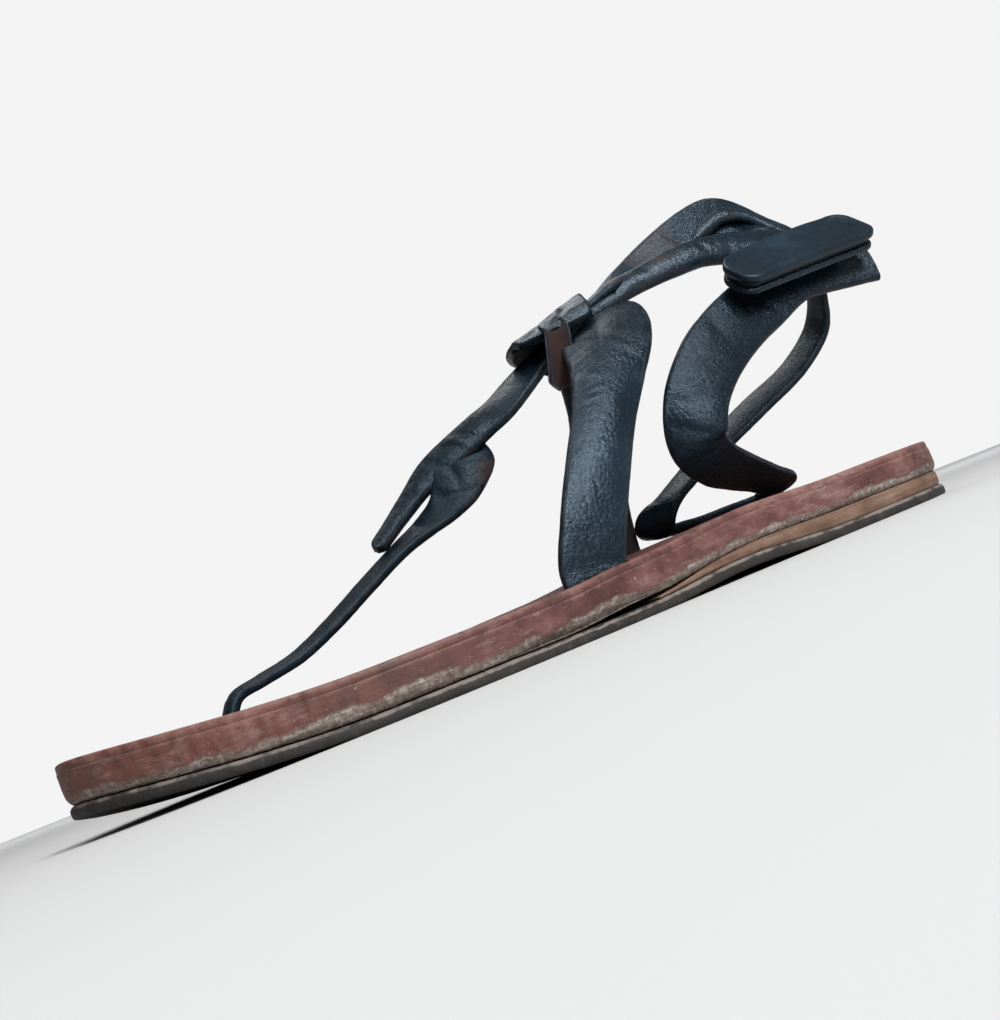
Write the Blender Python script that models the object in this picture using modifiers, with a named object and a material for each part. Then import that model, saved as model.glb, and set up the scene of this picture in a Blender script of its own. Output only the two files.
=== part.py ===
"""Toe post sandal for the left foot: a flat sole stack and a T-shaped strap upper.

Frame: metres, +Z up.  The toe points to -X, the heel to +X, the outer (lateral)
side of the foot to -Y and the inner (medial) side to +Y.  The sole rests on
Z = 0 and the origin lies under the centre of the whole sandal's box.
Tables are in millimetres; MM turns them into metres.
"""

import math

import bmesh
import bpy
import numpy as np
from mathutils import Matrix, Vector

MM = 0.001

# ---------------------------------------------------------------- named sizes
SOLE_LENGTH = 240.0        # toe tip to heel end
OUTSOLE_THICK = 2.7        # rubber outsole
MIDSOLE_THICK = 7.0        # stacked leather midsole under the ball
MIDSOLE_HEEL_THICK = 6.2   # the same midsole over the heel wedge
WEDGE_THICK = 3.2          # heel wedge at the heel seat
WEDGE_FRONT_THICK = 0.9    # its skived front edge
INSOLE_THICK = 1.6         # insole cover
LAYER_GAP = 0.3            # clearance between neighbouring pieces
TOE_SPRING = 5.5           # lift of the toe tip off the ground
ARCH_LIFT = 1.5            # lift of the waist off the ground
HEEL_LIFT = 0.5            # tiny roll at the back of the heel
SPRING_FROM = 0.23         # fraction of length where the toe spring starts
WAIST_FROM, WAIST_TO = 0.50, 0.79
WEDGE_FROM, WEDGE_FULL = 0.50, 0.80
EDGE_ROUND = 0.7           # softened edges of the sole layers
BOX_SHIFT_X = 0.0          # brings the whole box's centre over the origin
BOX_SHIFT_Y = 0.96

# outline of the sole: fraction of length from the toe, lateral and medial half widths
OUTLINE = [
    # t,    lateral, medial
    (0.00,   6.0,    6.0),
    (0.03, -14.0,   25.0),
    (0.08, -27.0,   35.0),
    (0.15, -36.0,   41.0),
    (0.25, -42.5,   42.5),
    (0.33, -44.5,   41.0),
    (0.42, -43.0,   36.5),
    (0.52, -38.5,   29.5),
    (0.62, -34.0,   25.5),
    (0.72, -31.0,   26.0),
    (0.82, -30.0,   29.0),
    (0.90, -27.0,   28.0),
    (0.96, -19.0,   21.0),
    (1.00,   0.5,    0.5),
]

# straps: one row for each section; centre, face direction, width, thickness
TOE_STRAP = [
    # x,     y,     z,     nx,   ny,    nz,   w,    h
    (-81.0, 8.0, 6.8, -1.0, 0.0, 0.0, 5.6, 3.0),
    (-81.0, 8.0, 11.8, -1.0, 0.0, 0.0, 5.6, 3.0),
    (-81.0, 8.0, 13.4, -1.0, 0.0, 0.0, 5.6, 3.0),
    (-78.2, 8.0, 17.0, -0.8, 0.0, 0.8, 5.8, 2.8),
    (-72.0, 7.6, 18.4, -0.2, -0.1, 1.0, 6.4, 2.7),
    (-62.0, 7.0, 20.4, -0.3, -0.15, 1.0, 6.8, 2.6),
    (-52.0, 6.5, 24.4, -0.4, -0.2, 1.0, 7.0, 2.6),
    (-41.0, 6.0, 29.8, -0.5, -0.25, 1.0, 7.2, 2.6),
    (-29.5, 5.6, 35.2, -0.5, -0.3, 1.0, 7.4, 2.6),
    (-21.5, 4.6, 38.3, -0.5, -0.5, 0.9, 8.0, 2.6),
    (-15.6, 3.0, 41.2, -0.5, -0.8, 0.7, 9.6, 2.7),
    (-12.0, 2.0, 44.4, -0.45, -1.0, 0.5, 12.2, 2.8),
    (-8.8, 1.8, 48.0, -0.4, -1.0, 0.5, 14.0, 2.8),
    (-5.0, 2.8, 51.6, -0.4, -1.0, 0.5, 14.0, 2.6),
    (-1.0, 4.2, 55.0, -0.4, -1.0, 0.6, 10.6, 2.4),
]
INSTEP_STRAP = [
    # x,     y,     z,     nx,   ny,    nz,   w,    h
    (-34.0, 8.0, 37.4, -0.6, -0.9, 0.6, 4.4, 2.4),
    (-28.0, 8.3, 41.3, -0.6, -0.9, 0.6, 4.8, 2.4),
    (-20.6, 8.0, 46.2, -0.6, -0.9, 0.6, 6.0, 2.4),
    (-14.0, 6.4, 50.6, -0.6, -0.9, 0.6, 7.8, 2.5),
    (-7.4, 3.4, 53.8, -0.55, -0.9, 0.7, 9.0, 2.6),
    (-0.6, 0.8, 56.6, -0.5, -0.9, 0.7, 8.6, 2.6),
    (6.5, 0.9, 59.2, -0.5, -0.7, 0.8, 9.4, 2.6),
    (16.0, 2.0, 64.2, -0.5, -0.45, 1.0, 11.0, 2.6),
    (26.0, 1.6, 69.6, -0.4, -0.2, 1.0, 11.5, 2.4),
    (36.5, 0.6, 73.6, -0.38, 0.0, 1.0, 11.5, 2.4),
]
LATERAL_STRAP = [
    # x,     y,     z,     nx,   ny,    nz,   w,    h
    (-8.4, -36.6, 7.2, -0.2, -1.0, 0.0, 15.4, 2.3),
    (-8.4, -36.6, 12.2, -0.2, -1.0, 0.0, 15.4, 2.3),
    (-8.4, -36.6, 14.2, -0.2, -1.0, 0.0, 15.4, 2.3),
    (-4.1, -38.0, 24.5, -0.2, -1.0, 0.1, 15.0, 2.3),
    (3.4, -37.0, 36.0, -0.25, -1.0, 0.2, 14.6, 2.3),
    (12.5, -32.5, 46.5, -0.25, -1.0, 0.4, 14.8, 2.3),
    (22.3, -25.5, 56.5, -0.3, -1.0, 0.6, 17.6, 2.3),
    (31.5, -16.5, 66.0, -0.35, -0.8, 1.0, 22.6, 2.3),
    (36.5, -7.0, 71.0, -0.38, -0.2, 1.0, 23.0, 2.3),
    (36.5, 3.0, 72.6, -0.38, 0.1, 1.0, 18.0, 2.2),
]
MEDIAL_STRAP = [
    # x,     y,     z,     nx,   ny,    nz,   w,    h
    (33.5, 20.8, 8.6, 0.1, 1.0, 0.0, 16.6, 2.3),
    (33.5, 20.8, 14.6, 0.1, 1.0, 0.0, 16.6, 2.3),
    (33.6, 20.9, 16.6, 0.1, 1.0, 0.0, 16.6, 2.3),
    (36.5, 22.4, 27.0, 0.1, 1.0, 0.1, 16.0, 2.3),
    (40.5, 21.4, 41.0, 0.0, 1.0, 0.3, 15.6, 2.3),
    (43.0, 17.6, 56.0, -0.1, 0.9, 0.6, 16.0, 2.3),
    (39.0, 10.8, 68.0, -0.3, 0.6, 1.0, 16.5, 2.3),
    (28.5, 2.4, 75.2, -0.42, 0.05, 1.0, 25.0, 2.4),
    (26.0, -4.4, 74.6, -0.4, -0.5, 1.0, 22.6, 2.4),
    (25.0, -8.0, 71.6, -0.35, -1.0, 0.5, 20.4, 2.4),
]
# narrow folded end that hangs from the band, flesh side out
BAND_FOLD = [
    # x,     y,     z,     nx,   ny,    nz,   w,    h
    (25.6, -5.4, 72.6, -0.4, -0.6, 1.0, 6.4, 2.2),
    (23.6, -8.8, 70.2, -0.35, -1.0, 0.5, 6.4, 2.2),
    (21.2, -10.2, 65.8, -0.3, -1.0, 0.1, 6.6, 2.2),
    (18.9, -10.7, 60.6, -0.3, -1.0, 0.0, 6.4, 2.2),
    (17.4, -10.7, 56.8, -0.3, -1.0, 0.0, 6.0, 2.2),
]
# slotted link from the instep to the ankle strap: a root, then two strands
LINK_ROOT = [
    # x,     y,     z,     nx,   ny,    nz,   w,    h
    (42.8,   0.4,  77.6,  -0.38, 0.0,   1.0,  9.0,  1.8),
    (46.5,   0.2,  78.9,  -0.38, 0.0,   1.0, 10.0,  2.0),
    (51.0,   0.0,  79.9,  -0.35, 0.0,   1.0, 11.0,  2.4),
    (56.0,   0.0,  80.6,  -0.35, 0.0,   1.0, 11.0,  2.6),
]
LINK_OUTER = [
    # x,     y,     z,     nx,   ny,    nz,   w,    h
    (47.5,  -2.6,  78.4,  -0.35, -0.3,  1.0,  5.2,  2.4),
    (55.0,  -4.8,  79.0,  -0.3, -0.8,   0.9,  6.8,  3.2),
    (65.0,  -6.4,  80.4,  -0.2, -1.0,   0.6,  8.0,  3.2),
    (75.0,  -7.4,  81.0,  -0.1, -1.0,   0.4,  8.4,  3.0),
    (85.0,  -8.0,  79.6,   0.0, -1.0,   0.3,  8.6,  2.6),
    (95.0,  -9.0,  76.8,   0.0, -1.0,   0.4,  9.0,  2.2),
    (104.0, -9.6,  75.2,   0.0, -1.0,   0.4,  9.0,  2.2),
]
LINK_INNER = [
    # x,     y,     z,     nx,   ny,    nz,   w,    h
    (48.0, 2.2, 79.2, -0.35, -0.2, 1.0, 5.2, 2.4),
    (55.5, 2.6, 81.6, -0.4, -0.7, 0.9, 7.6, 2.3),
    (63.8, 2.4, 83.6, -0.4, -0.9, 0.5, 10.0, 2.3),
    (73.5, 2.2, 86.0, -0.35, -0.95, 0.25, 12.4, 2.3),
    (83.0, 1.8, 88.6, -0.2, -0.95, 0.2, 13.4, 2.3),
    (91.0, 1.2, 90.4, 0.0, -0.95, 0.2, 12.4, 2.3),
    (97.0, 0.2, 89.6, 0.3, -0.95, 0.3, 10.6, 2.3),
    (101.4, -2.0, 86.0, 0.4, -0.95, 0.4, 10.0, 2.3),
    (104.0, -6.0, 80.6, 0.3, -1.0, 0.4, 10.0, 2.2),
    (104.5, -9.2, 75.8, 0.1, -1.0, 0.4, 9.0, 2.2),
]
# slack loop of the ankle strap, run as one open band whose ends lap under the tab
ANKLE_STRAP = [
    # x,     y,     z,     nx,   ny,    nz,   w,    h
    (117.0, -19.8, 63.8,  -0.2, -1.0,   0.4, 12.0,  2.2),
    (105.0, -17.8, 65.2,  -0.2, -1.0,   0.4, 13.0,  2.2),
    (93.0,  -16.6, 65.8,  -0.2, -1.0,   0.4, 13.8,  2.2),
    (80.0,  -16.8, 62.6,  -0.2, -1.0,   0.3, 16.0,  2.2),
    (66.5,  -18.2, 57.6,  -0.3, -1.0,   0.2, 16.5,  2.2),
    (54.5,  -20.0, 51.0,  -0.4, -1.0,   0.1, 16.5,  2.2),
    (46.0,  -20.4, 42.4,  -0.5, -1.0,   0.0, 16.0,  2.2),
    (44.0,  -18.4, 33.6,  -0.6, -1.0,  -0.1, 15.0,  2.2),
    (50.0,  -14.0, 27.6,  -0.6, -1.0,  -0.4, 13.0,  2.2),
    (59.5,  -8.6,  23.6,  -0.5, -0.9,  -0.9, 11.5,  2.2),
    (70.0,  -3.0,  20.0,  -0.3, -0.5,  -1.0, 10.5,  2.2),
    (79.5,   4.0,  17.2,   0.0, -0.2,  -1.0, 10.5,  2.2),
    (80.5,  13.0,  16.4,   0.0,  0.0,  -1.0, 10.5,  2.2),
    (70.0,  19.0,  16.4,   0.0,  0.0,  -1.0, 10.5,  2.2),
    (55.0,  19.2,  16.6,   0.0,  0.0,  -1.0, 10.5,  2.2),
    (44.5,  14.4,  18.2,  -0.5, -0.1,  -0.9, 10.5,  2.2),
    (46.0,  10.6,  23.0,  -1.0, -0.1,   0.2, 10.5,  2.2),
    (56.0,   9.6,  28.6,  -0.6, -0.2,   1.0, 10.5,  2.2),
    (69.0,   8.6,  34.2,  -0.5, -0.3,   1.0, 11.0,  2.2),
    (83.0,   5.6,  40.2,  -0.5, -0.4,   1.0, 10.8,  2.2),
    (96.0,   0.6,  46.0,  -0.8, -0.2,   0.8, 10.5,  2.2),
    (103.8, -4.6,  53.6,  -1.0,  0.1,   0.35, 10.5,  2.2),
    (104.4, -9.0,  61.4,  -1.0,  0.4,   0.1, 10.5,  2.2),
]
# ankle tab: a flat tab with rounded corners standing outside the ankle strap
TAB_CENTRE = (91.9, -21.9, 70.6)
TAB_SIZE = (44.0, 14.4, 5.4)     # long, tall, thick
TAB_CORNERS = (5.0, 7.0, 4.0, 3.2)   # upper rear, upper front, lower front, lower rear
TAB_TURN = -3.0                  # degrees about Z, rear end swung outward
TAB_TILT = 49.5                  # degrees, outer face turned upward
TAB_LEAN = 3.2                   # degrees, rear end up

# colours
NAVY = (0.012, 0.022, 0.036)
BURGUNDY = (0.150, 0.022, 0.022)
TAN = (0.180, 0.095, 0.055)
RUBBER_GREY = (0.060, 0.052, 0.048)


# ------------------------------------------------------------------- helpers
def clear_scene():
    for ob in list(bpy.data.objects):
        bpy.data.objects.remove(ob, do_unlink=True)
    for col in list(bpy.data.collections):
        bpy.data.collections.remove(col)


def new_collection(name):
    col = bpy.data.collections.new(name)
    bpy.context.scene.collection.children.link(col)
    return col


def material(name, colour, roughness):
    mat = bpy.data.materials.new(name)
    mat.use_nodes = True
    bsdf = mat.node_tree.nodes["Principled BSDF"]
    bsdf.inputs["Base Color"].default_value = (*colour, 1.0)
    bsdf.inputs["Roughness"].default_value = roughness
    bsdf.inputs["Metallic"].default_value = 0.0
    return mat


def smooth_rows(xs, ys, at):
    """Monotone cubic through table rows: no overshoot between them."""
    xs, ys, at = np.asarray(xs, float), np.asarray(ys, float), np.asarray(at, float)
    h = np.diff(xs)
    d = np.diff(ys) / h
    m = np.zeros_like(ys)
    for i in range(1, len(xs) - 1):
        if d[i - 1] * d[i] > 0:
            w1, w2 = 2 * h[i] + h[i - 1], h[i] + 2 * h[i - 1]
            m[i] = (w1 + w2) / (w1 / d[i - 1] + w2 / d[i])
    m[0], m[-1] = d[0], d[-1]
    k = np.clip(np.searchsorted(xs, at, side="right") - 1, 0, len(xs) - 2)
    s = (at - xs[k]) / h[k]
    return (
        (2 * s**3 - 3 * s**2 + 1) * ys[k]
        + (s**3 - 2 * s**2 + s) * h[k] * m[k]
        + (-2 * s**3 + 3 * s**2) * ys[k + 1]
        + (s**3 - s**2) * h[k] * m[k + 1]
    )


def outline(t):
    """Lateral and medial edge (mm) at fraction t; rows are spaced by the end angle."""
    rows = np.array(OUTLINE)
    ang = np.arccos(1 - 2 * rows[:, 0])
    a = math.acos(max(-1.0, min(1.0, 1 - 2 * t)))
    return (
        float(smooth_rows(ang, rows[:, 1], [a])[0]),
        float(smooth_rows(ang, rows[:, 2], [a])[0]),
    )


def ramp(t, lo, hi):
    s = min(1.0, max(0.0, (t - lo) / (hi - lo)))
    return s * s * (3 - 2 * s)


def ground(t):
    """Underside of the outsole: toe spring, lifted waist, flat ball and heel."""
    z = 0.0
    if t < SPRING_FROM:
        z += TOE_SPRING * ((SPRING_FROM - t) / SPRING_FROM) ** 1.9
    if WAIST_FROM < t < WAIST_TO:
        z += ARCH_LIFT * math.sin(math.pi * (t - WAIST_FROM) / (WAIST_TO - WAIST_FROM)) ** 2
    if t > 0.965:
        z += HEEL_LIFT * ((t - 0.965) / 0.035) ** 2
    return z


def wedge_thick(t):
    return WEDGE_FRONT_THICK + (WEDGE_THICK - WEDGE_FRONT_THICK) * ramp(t, WEDGE_FROM, WEDGE_FULL)


def outsole_top(t):
    return ground(t) + OUTSOLE_THICK


def wedge_room(t):
    """Height that the wedge and its gap take between outsole and midsole."""
    return (wedge_thick(t) + LAYER_GAP) * ramp(t, WEDGE_FROM - 0.10, WEDGE_FROM + 0.005)


def midsole_low(t):
    return outsole_top(t) + LAYER_GAP + wedge_room(t)


def midsole_top(t):
    thick = MIDSOLE_THICK + (MIDSOLE_HEEL_THICK - MIDSOLE_THICK) * ramp(t, 0.45, 0.80)
    return midsole_low(t) + thick


def insole_low(t):
    return midsole_top(t) + LAYER_GAP


def insole_top(t):
    return insole_low(t) + INSOLE_THICK


def ring_faces(bm, rings):
    for a, b in zip(rings[:-1], rings[1:]):
        n = len(a)
        for i in range(n):
            bm.faces.new((a[i], a[(i + 1) % n], b[(i + 1) % n], b[i]))
    bm.faces.new(list(reversed(rings[0])))
    bm.faces.new(rings[-1])


def finish_mesh(bm, name, mat, col, sharp=50.0):
    bmesh.ops.recalc_face_normals(bm, faces=bm.faces)
    me = bpy.data.meshes.new(name)
    bm.to_mesh(me)
    bm.free()
    me.shade_smooth()
    me.set_sharp_from_angle(angle=math.radians(sharp))
    ob = bpy.data.objects.new(name, me)
    me.materials.append(mat)
    col.objects.link(ob)
    return ob


def sole_layer(name, low, high, mat, col, inset=0.0, t_from=0.0, stations=40, cup=0.0):
    """A sole layer lofted from toe to heel between two height functions.

    inset draws the edge in from the outline; cup raises the rim of the top face.
    """
    bm = bmesh.new()
    rings = []
    first = math.acos(1 - 2 * max(t_from, 0.0012))
    last = math.acos(1 - 2 * 0.9988)
    across = (0.0, 0.14, 0.5, 0.86, 1.0)
    for i in range(stations + 1):
        a = first + (last - first) * i / stations
        t = (1 - math.cos(a)) / 2
        lat, med = outline(t)
        mid, half = (lat + med) / 2, (med - lat) / 2
        half = max(1.2, half - inset)
        shrink = 1.0 - 2.0 * inset / SOLE_LENGTH
        x = ((t - 0.5) * shrink) * SOLE_LENGTH if t_from == 0.0 else (t - 0.5) * SOLE_LENGTH
        zl, zh = low(t), high(t)
        r = min(EDGE_ROUND, 0.35 * (zh - zl), 0.4 * half)
        ring = []
        # underside, lateral to medial
        for f in across:
            y = mid - (half - r) + 2 * (half - r) * f
            ring.append((x, y, zl))
        ring.append((x, mid + half, zl + r))
        ring.append((x, mid + half, zh - r))
        for f in reversed(across):
            y = mid - (half - r) + 2 * (half - r) * f
            rise = cup * abs(2 * f - 1) ** 3
            ring.append((x, y, zh + rise))
        ring.append((x, mid - half, zh - r))
        ring.append((x, mid - half, zl + r))
        rings.append([bm.verts.new((p[0] * MM, p[1] * MM, p[2] * MM)) for p in ring])
    ring_faces(bm, rings)
    return finish_mesh(bm, name, mat, col)


def curve_rows(rows, step):
    """Samples of a smooth line through table rows, about step mm apart."""
    rows = np.array(rows, float)
    p = rows[:, :3]
    seg = np.linalg.norm(np.diff(p, axis=0), axis=1)
    u = np.concatenate([[0.0], np.cumsum(np.sqrt(seg))])     # centripetal spacing
    tang = np.zeros_like(rows)
    for i in range(len(rows)):
        if i == 0:
            tang[i] = (rows[1] - rows[0]) / (u[1] - u[0])
        elif i == len(rows) - 1:
            tang[i] = (rows[-1] - rows[-2]) / (u[-1] - u[-2])
        else:
            h0, h1 = u[i] - u[i - 1], u[i + 1] - u[i]
            d0, d1 = (rows[i] - rows[i - 1]) / h0, (rows[i + 1] - rows[i]) / h1
            tang[i] = (d0 * h1 + d1 * h0) / (h0 + h1)
    out = []
    for i in range(len(rows) - 1):
        h = u[i + 1] - u[i]
        n = max(1, int(round(seg[i] / step)))
        for k in range(n):
            s = k / n
            out.append(
                (2 * s**3 - 3 * s**2 + 1) * rows[i]
                + (s**3 - 2 * s**2 + s) * h * tang[i]
                + (-2 * s**3 + 3 * s**2) * rows[i + 1]
                + (s**3 - s**2) * h * tang[i + 1]
            )
    out.append(rows[-1])
    return np.array(out)


def strap_frames(samples):
    """Centre, across, face direction, width and thickness for each section."""
    frames = []
    for i, row in enumerate(samples):
        a = samples[max(0, i - 1), :3]
        b = samples[min(len(samples) - 1, i + 1), :3]
        tan = Vector(b - a).normalized()
        face = Vector(row[3:6])
        face = (face - tan * face.dot(tan)).normalized()
        across = tan.cross(face).normalized()
        frames.append((Vector(row[:3]), across, face, row[6], row[7]))
    return frames


def strap(name, rows, mat, col, step=3.6, round_start=0.0, round_end=0.0):
    """A leather strap lofted through the sections of a table.

    round_start and round_end narrow the first and last few millimetres.
    """
    samples = curve_rows(rows, step)
    dist = np.concatenate([[0.0], np.cumsum(np.linalg.norm(np.diff(samples[:, :3], axis=0), axis=1))])
    bm = bmesh.new()
    rings = []
    for (c, across, face, w, h), s in zip(strap_frames(samples), dist):
        for r, d in ((round_start, s), (round_end, dist[-1] - s)):
            if r > 0 and d < r:
                w *= max(0.45, math.sqrt(max(0.0, 1 - (1 - d / r) ** 2)))
        e = 0.3 * h
        pts = (
            (-w / 2 + e, -h / 2), (w / 2 - e, -h / 2), (w / 2, -h / 2 + e), (w / 2, h / 2 - e),
            (w / 2 - e, h / 2), (-w / 2 + e, h / 2), (-w / 2, h / 2 - e), (-w / 2, -h / 2 + e),
        )
        rings.append([bm.verts.new((c + across * a + face * b) * MM) for a, b in pts])
    ring_faces(bm, rings)
    return finish_mesh(bm, name, mat, col, sharp=40.0)


def as_tool(ob):
    ob.hide_render = True
    ob.display_type = "WIRE"


def boolean(ob, tool, operation):
    mod = ob.modifiers.new(operation.lower() + "_" + tool.name, "BOOLEAN")
    mod.operation = operation
    mod.solver = "EXACT"
    mod.object = tool


def slot_cutter(name, row, low_z, high_z, col):
    """Box around a strap's foot, with the clearance all round."""
    x, y = row[0], row[1]
    face = Vector((row[3], row[4], 0.0)).normalized()
    w, h = row[6] + 2 * LAYER_GAP, row[7] + 2 * LAYER_GAP
    bm = bmesh.new()
    bmesh.ops.create_cube(bm, size=1.0)
    bmesh.ops.scale(bm, vec=(w * MM, h * MM, (high_z - low_z) * MM), verts=bm.verts)
    turn = Matrix.Rotation(math.atan2(face.y, face.x) - math.pi / 2, 3, "Z")
    bmesh.ops.rotate(bm, cent=(0, 0, 0), matrix=turn, verts=bm.verts)
    bmesh.ops.translate(bm, vec=(x * MM, y * MM, (low_z + high_z) / 2 * MM), verts=bm.verts)
    me = bpy.data.meshes.new(name)
    bm.to_mesh(me)
    bm.free()
    ob = bpy.data.objects.new(name, me)
    col.objects.link(ob)
    as_tool(ob)
    return ob


def rounded_tab(name, centre, size, corners, turns, mat, col):
    """Flat tab: a rounded 2D outline extruded to its thickness."""
    lx, lz, thick = size
    cu = bpy.data.curves.new(name + "_outline", "CURVE")
    cu.dimensions = "2D"
    cu.fill_mode = "BOTH"
    cu.extrude = (thick / 2) * MM
    pts = []
    for corner, (sx, sz, a0) in zip(corners, ((1, 1, 0), (-1, 1, 90), (-1, -1, 180), (1, -1, 270))):
        for k in range(5):
            a = math.radians(a0 + 22.5 * k)
            pts.append((sx * (lx / 2 - corner) + corner * math.cos(a),
                        sz * (lz / 2 - corner) + corner * math.sin(a)))
    sp = cu.splines.new("POLY")
    sp.points.add(len(pts) - 1)
    for p, (a, b) in zip(sp.points, pts):
        p.co = (a * MM, b * MM, 0.0, 1.0)
    sp.use_cyclic_u = True
    tmp = bpy.data.objects.new(name + "_curve", cu)
    col.objects.link(tmp)
    bpy.context.view_layer.update()
    me = bpy.data.meshes.new_from_object(tmp.evaluated_get(bpy.context.evaluated_depsgraph_get()))
    bpy.data.objects.remove(tmp, do_unlink=True)
    bm = bmesh.new()
    bm.from_mesh(me)
    bmesh.ops.remove_doubles(bm, verts=bm.verts, dist=1e-6)
    bmesh.ops.rotate(bm, cent=(0, 0, 0), matrix=Matrix.Rotation(math.pi / 2, 3, "X"), verts=bm.verts)
    for degrees, axis in turns:
        bmesh.ops.rotate(bm, cent=(0, 0, 0), matrix=Matrix.Rotation(math.radians(degrees), 3, axis), verts=bm.verts)
    bmesh.ops.translate(bm, vec=[c * MM for c in centre], verts=bm.verts)
    bpy.data.meshes.remove(me)
    ob = finish_mesh(bm, name, mat, col, sharp=40.0)
    bev = ob.modifiers.new("softened_edge", "BEVEL")
    bev.width = 0.6 * MM
    bev.segments = 1
    bev.limit_method = "ANGLE"
    bev.angle_limit = math.radians(50)
    return ob


# ---------------------------------------------------------------------- build
def main():
    clear_scene()
    parts = new_collection("toe_post_sandal")
    tools = new_collection("shaping_tools")

    leather = material("navy_leather", NAVY, 0.42)
    strap_leather = material("navy_leather_ankle", NAVY, 0.45)
    tab_leather = material("navy_leather_tab", NAVY, 0.38)
    red = material("burgundy_leather", BURGUNDY, 0.55)
    tan = material("tan_leather", TAN, 0.65)
    rubber = material("dark_rubber", RUBBER_GREY, 0.8)
    cover = material("insole_leather", (0.055, 0.020, 0.016), 0.6)

    outsole = sole_layer("outsole", ground, outsole_top, rubber, parts)
    wedge = sole_layer(
        "heel_wedge",
        lambda t: outsole_top(t) + LAYER_GAP,
        lambda t: outsole_top(t) + LAYER_GAP + wedge_thick(t),
        tan, parts, inset=0.4, t_from=WEDGE_FROM + 0.01, stations=22,
    )
    midsole = sole_layer("midsole", midsole_low, midsole_top, red, parts)
    insole = sole_layer("insole", insole_low, insole_top, cover, parts, inset=1.2)

    # straps that make the upper, joined where they cross
    upper = strap("upper", INSTEP_STRAP, leather, parts, round_start=3.0)
    joined = [
        strap("form_toe_strap", TOE_STRAP, leather, tools, round_end=4.0),
        strap("form_lateral_strap", LATERAL_STRAP, leather, tools),
        strap("form_medial_strap", MEDIAL_STRAP, leather, tools),
        strap("form_band_fold", BAND_FOLD, leather, tools, round_end=3.0),
    ]
    for ob in joined:
        as_tool(ob)
        boolean(upper, ob, "UNION")

    # slotted link: root and two strands, joined
    link = strap("ankle_link", LINK_ROOT, leather, parts)
    for name, rows in (("form_link_outer", LINK_OUTER), ("form_link_inner", LINK_INNER)):
        ob = strap(name, rows, leather, tools)
        as_tool(ob)
        boolean(link, ob, "UNION")

    ankle = strap("ankle_strap", ANKLE_STRAP, strap_leather, parts)
    tab = rounded_tab("ankle_tab", TAB_CENTRE, TAB_SIZE, TAB_CORNERS,
                      ((-TAB_TILT, "X"), (-TAB_LEAN, "Y"), (TAB_TURN, "Z")), tab_leather, parts)

    # pockets for the strap feet
    for name, rows in (("slot_toe", TOE_STRAP), ("slot_lateral", LATERAL_STRAP), ("slot_medial", MEDIAL_STRAP)):
        t = rows[0][0] / SOLE_LENGTH + 0.5
        low = rows[0][2] - LAYER_GAP
        cut = slot_cutter(name, rows[0], low, insole_top(t) + 4.0, tools)
        boolean(midsole, cut, "DIFFERENCE")
        boolean(insole, cut, "DIFFERENCE")

    shift = Vector((BOX_SHIFT_X * MM, BOX_SHIFT_Y * MM, 0.0))
    for ob in list(parts.objects) + list(tools.objects):
        ob.location = ob.location + shift
    bpy.context.view_layer.update()


main()
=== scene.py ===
import math

import bmesh
import bpy
import numpy as np
from mathutils import Matrix, Vector
from mathutils import noise as mnoise


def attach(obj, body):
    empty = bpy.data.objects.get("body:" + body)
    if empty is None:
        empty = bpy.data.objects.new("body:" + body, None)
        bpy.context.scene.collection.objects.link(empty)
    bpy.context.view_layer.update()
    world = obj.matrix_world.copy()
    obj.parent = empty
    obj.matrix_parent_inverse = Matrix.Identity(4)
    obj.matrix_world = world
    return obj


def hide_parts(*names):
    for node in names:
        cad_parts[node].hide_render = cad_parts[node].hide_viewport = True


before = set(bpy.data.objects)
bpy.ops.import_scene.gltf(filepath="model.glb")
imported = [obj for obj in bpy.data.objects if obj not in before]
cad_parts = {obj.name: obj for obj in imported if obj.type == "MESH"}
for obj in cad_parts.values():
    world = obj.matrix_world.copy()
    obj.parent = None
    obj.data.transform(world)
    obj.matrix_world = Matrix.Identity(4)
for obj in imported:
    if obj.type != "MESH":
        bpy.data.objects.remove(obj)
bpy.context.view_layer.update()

MM = 0.001
SHIFT = Vector((0.0, 0.96, 0.0))       # mm, from the tables' frame to the row frame

# ------------------------------------------------------------------ sole sizes
SOLE_LENGTH = 240.0
OUTSOLE_THICK = 2.7
MIDSOLE_THICK, MIDSOLE_HEEL_THICK = 7.0, 6.2
WEDGE_THICK, WEDGE_FRONT_THICK = 3.2, 0.9
INSOLE_THICK = 1.6
LAYER_GAP = 0.3
TOE_SPRING, ARCH_LIFT, HEEL_LIFT, SPRING_FROM = 5.5, 1.5, 0.5, 0.23
WAIST_FROM, WAIST_TO = 0.50, 0.79
WEDGE_FROM, WEDGE_FULL = 0.50, 0.80
OUTLINE = [
    # t,    lateral, medial
    (0.00,   6.0,    6.0),
    (0.03, -14.0,   25.0),
    (0.08, -27.0,   35.0),
    (0.15, -36.0,   41.0),
    (0.25, -42.5,   42.5),
    (0.33, -44.5,   41.0),
    (0.42, -43.0,   36.5),
    (0.52, -38.5,   29.5),
    (0.62, -34.0,   25.5),
    (0.72, -31.0,   26.0),
    (0.82, -30.0,   29.0),
    (0.90, -27.0,   28.0),
    (0.96, -19.0,   21.0),
    (1.00,   0.5,    0.5),
]

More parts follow.
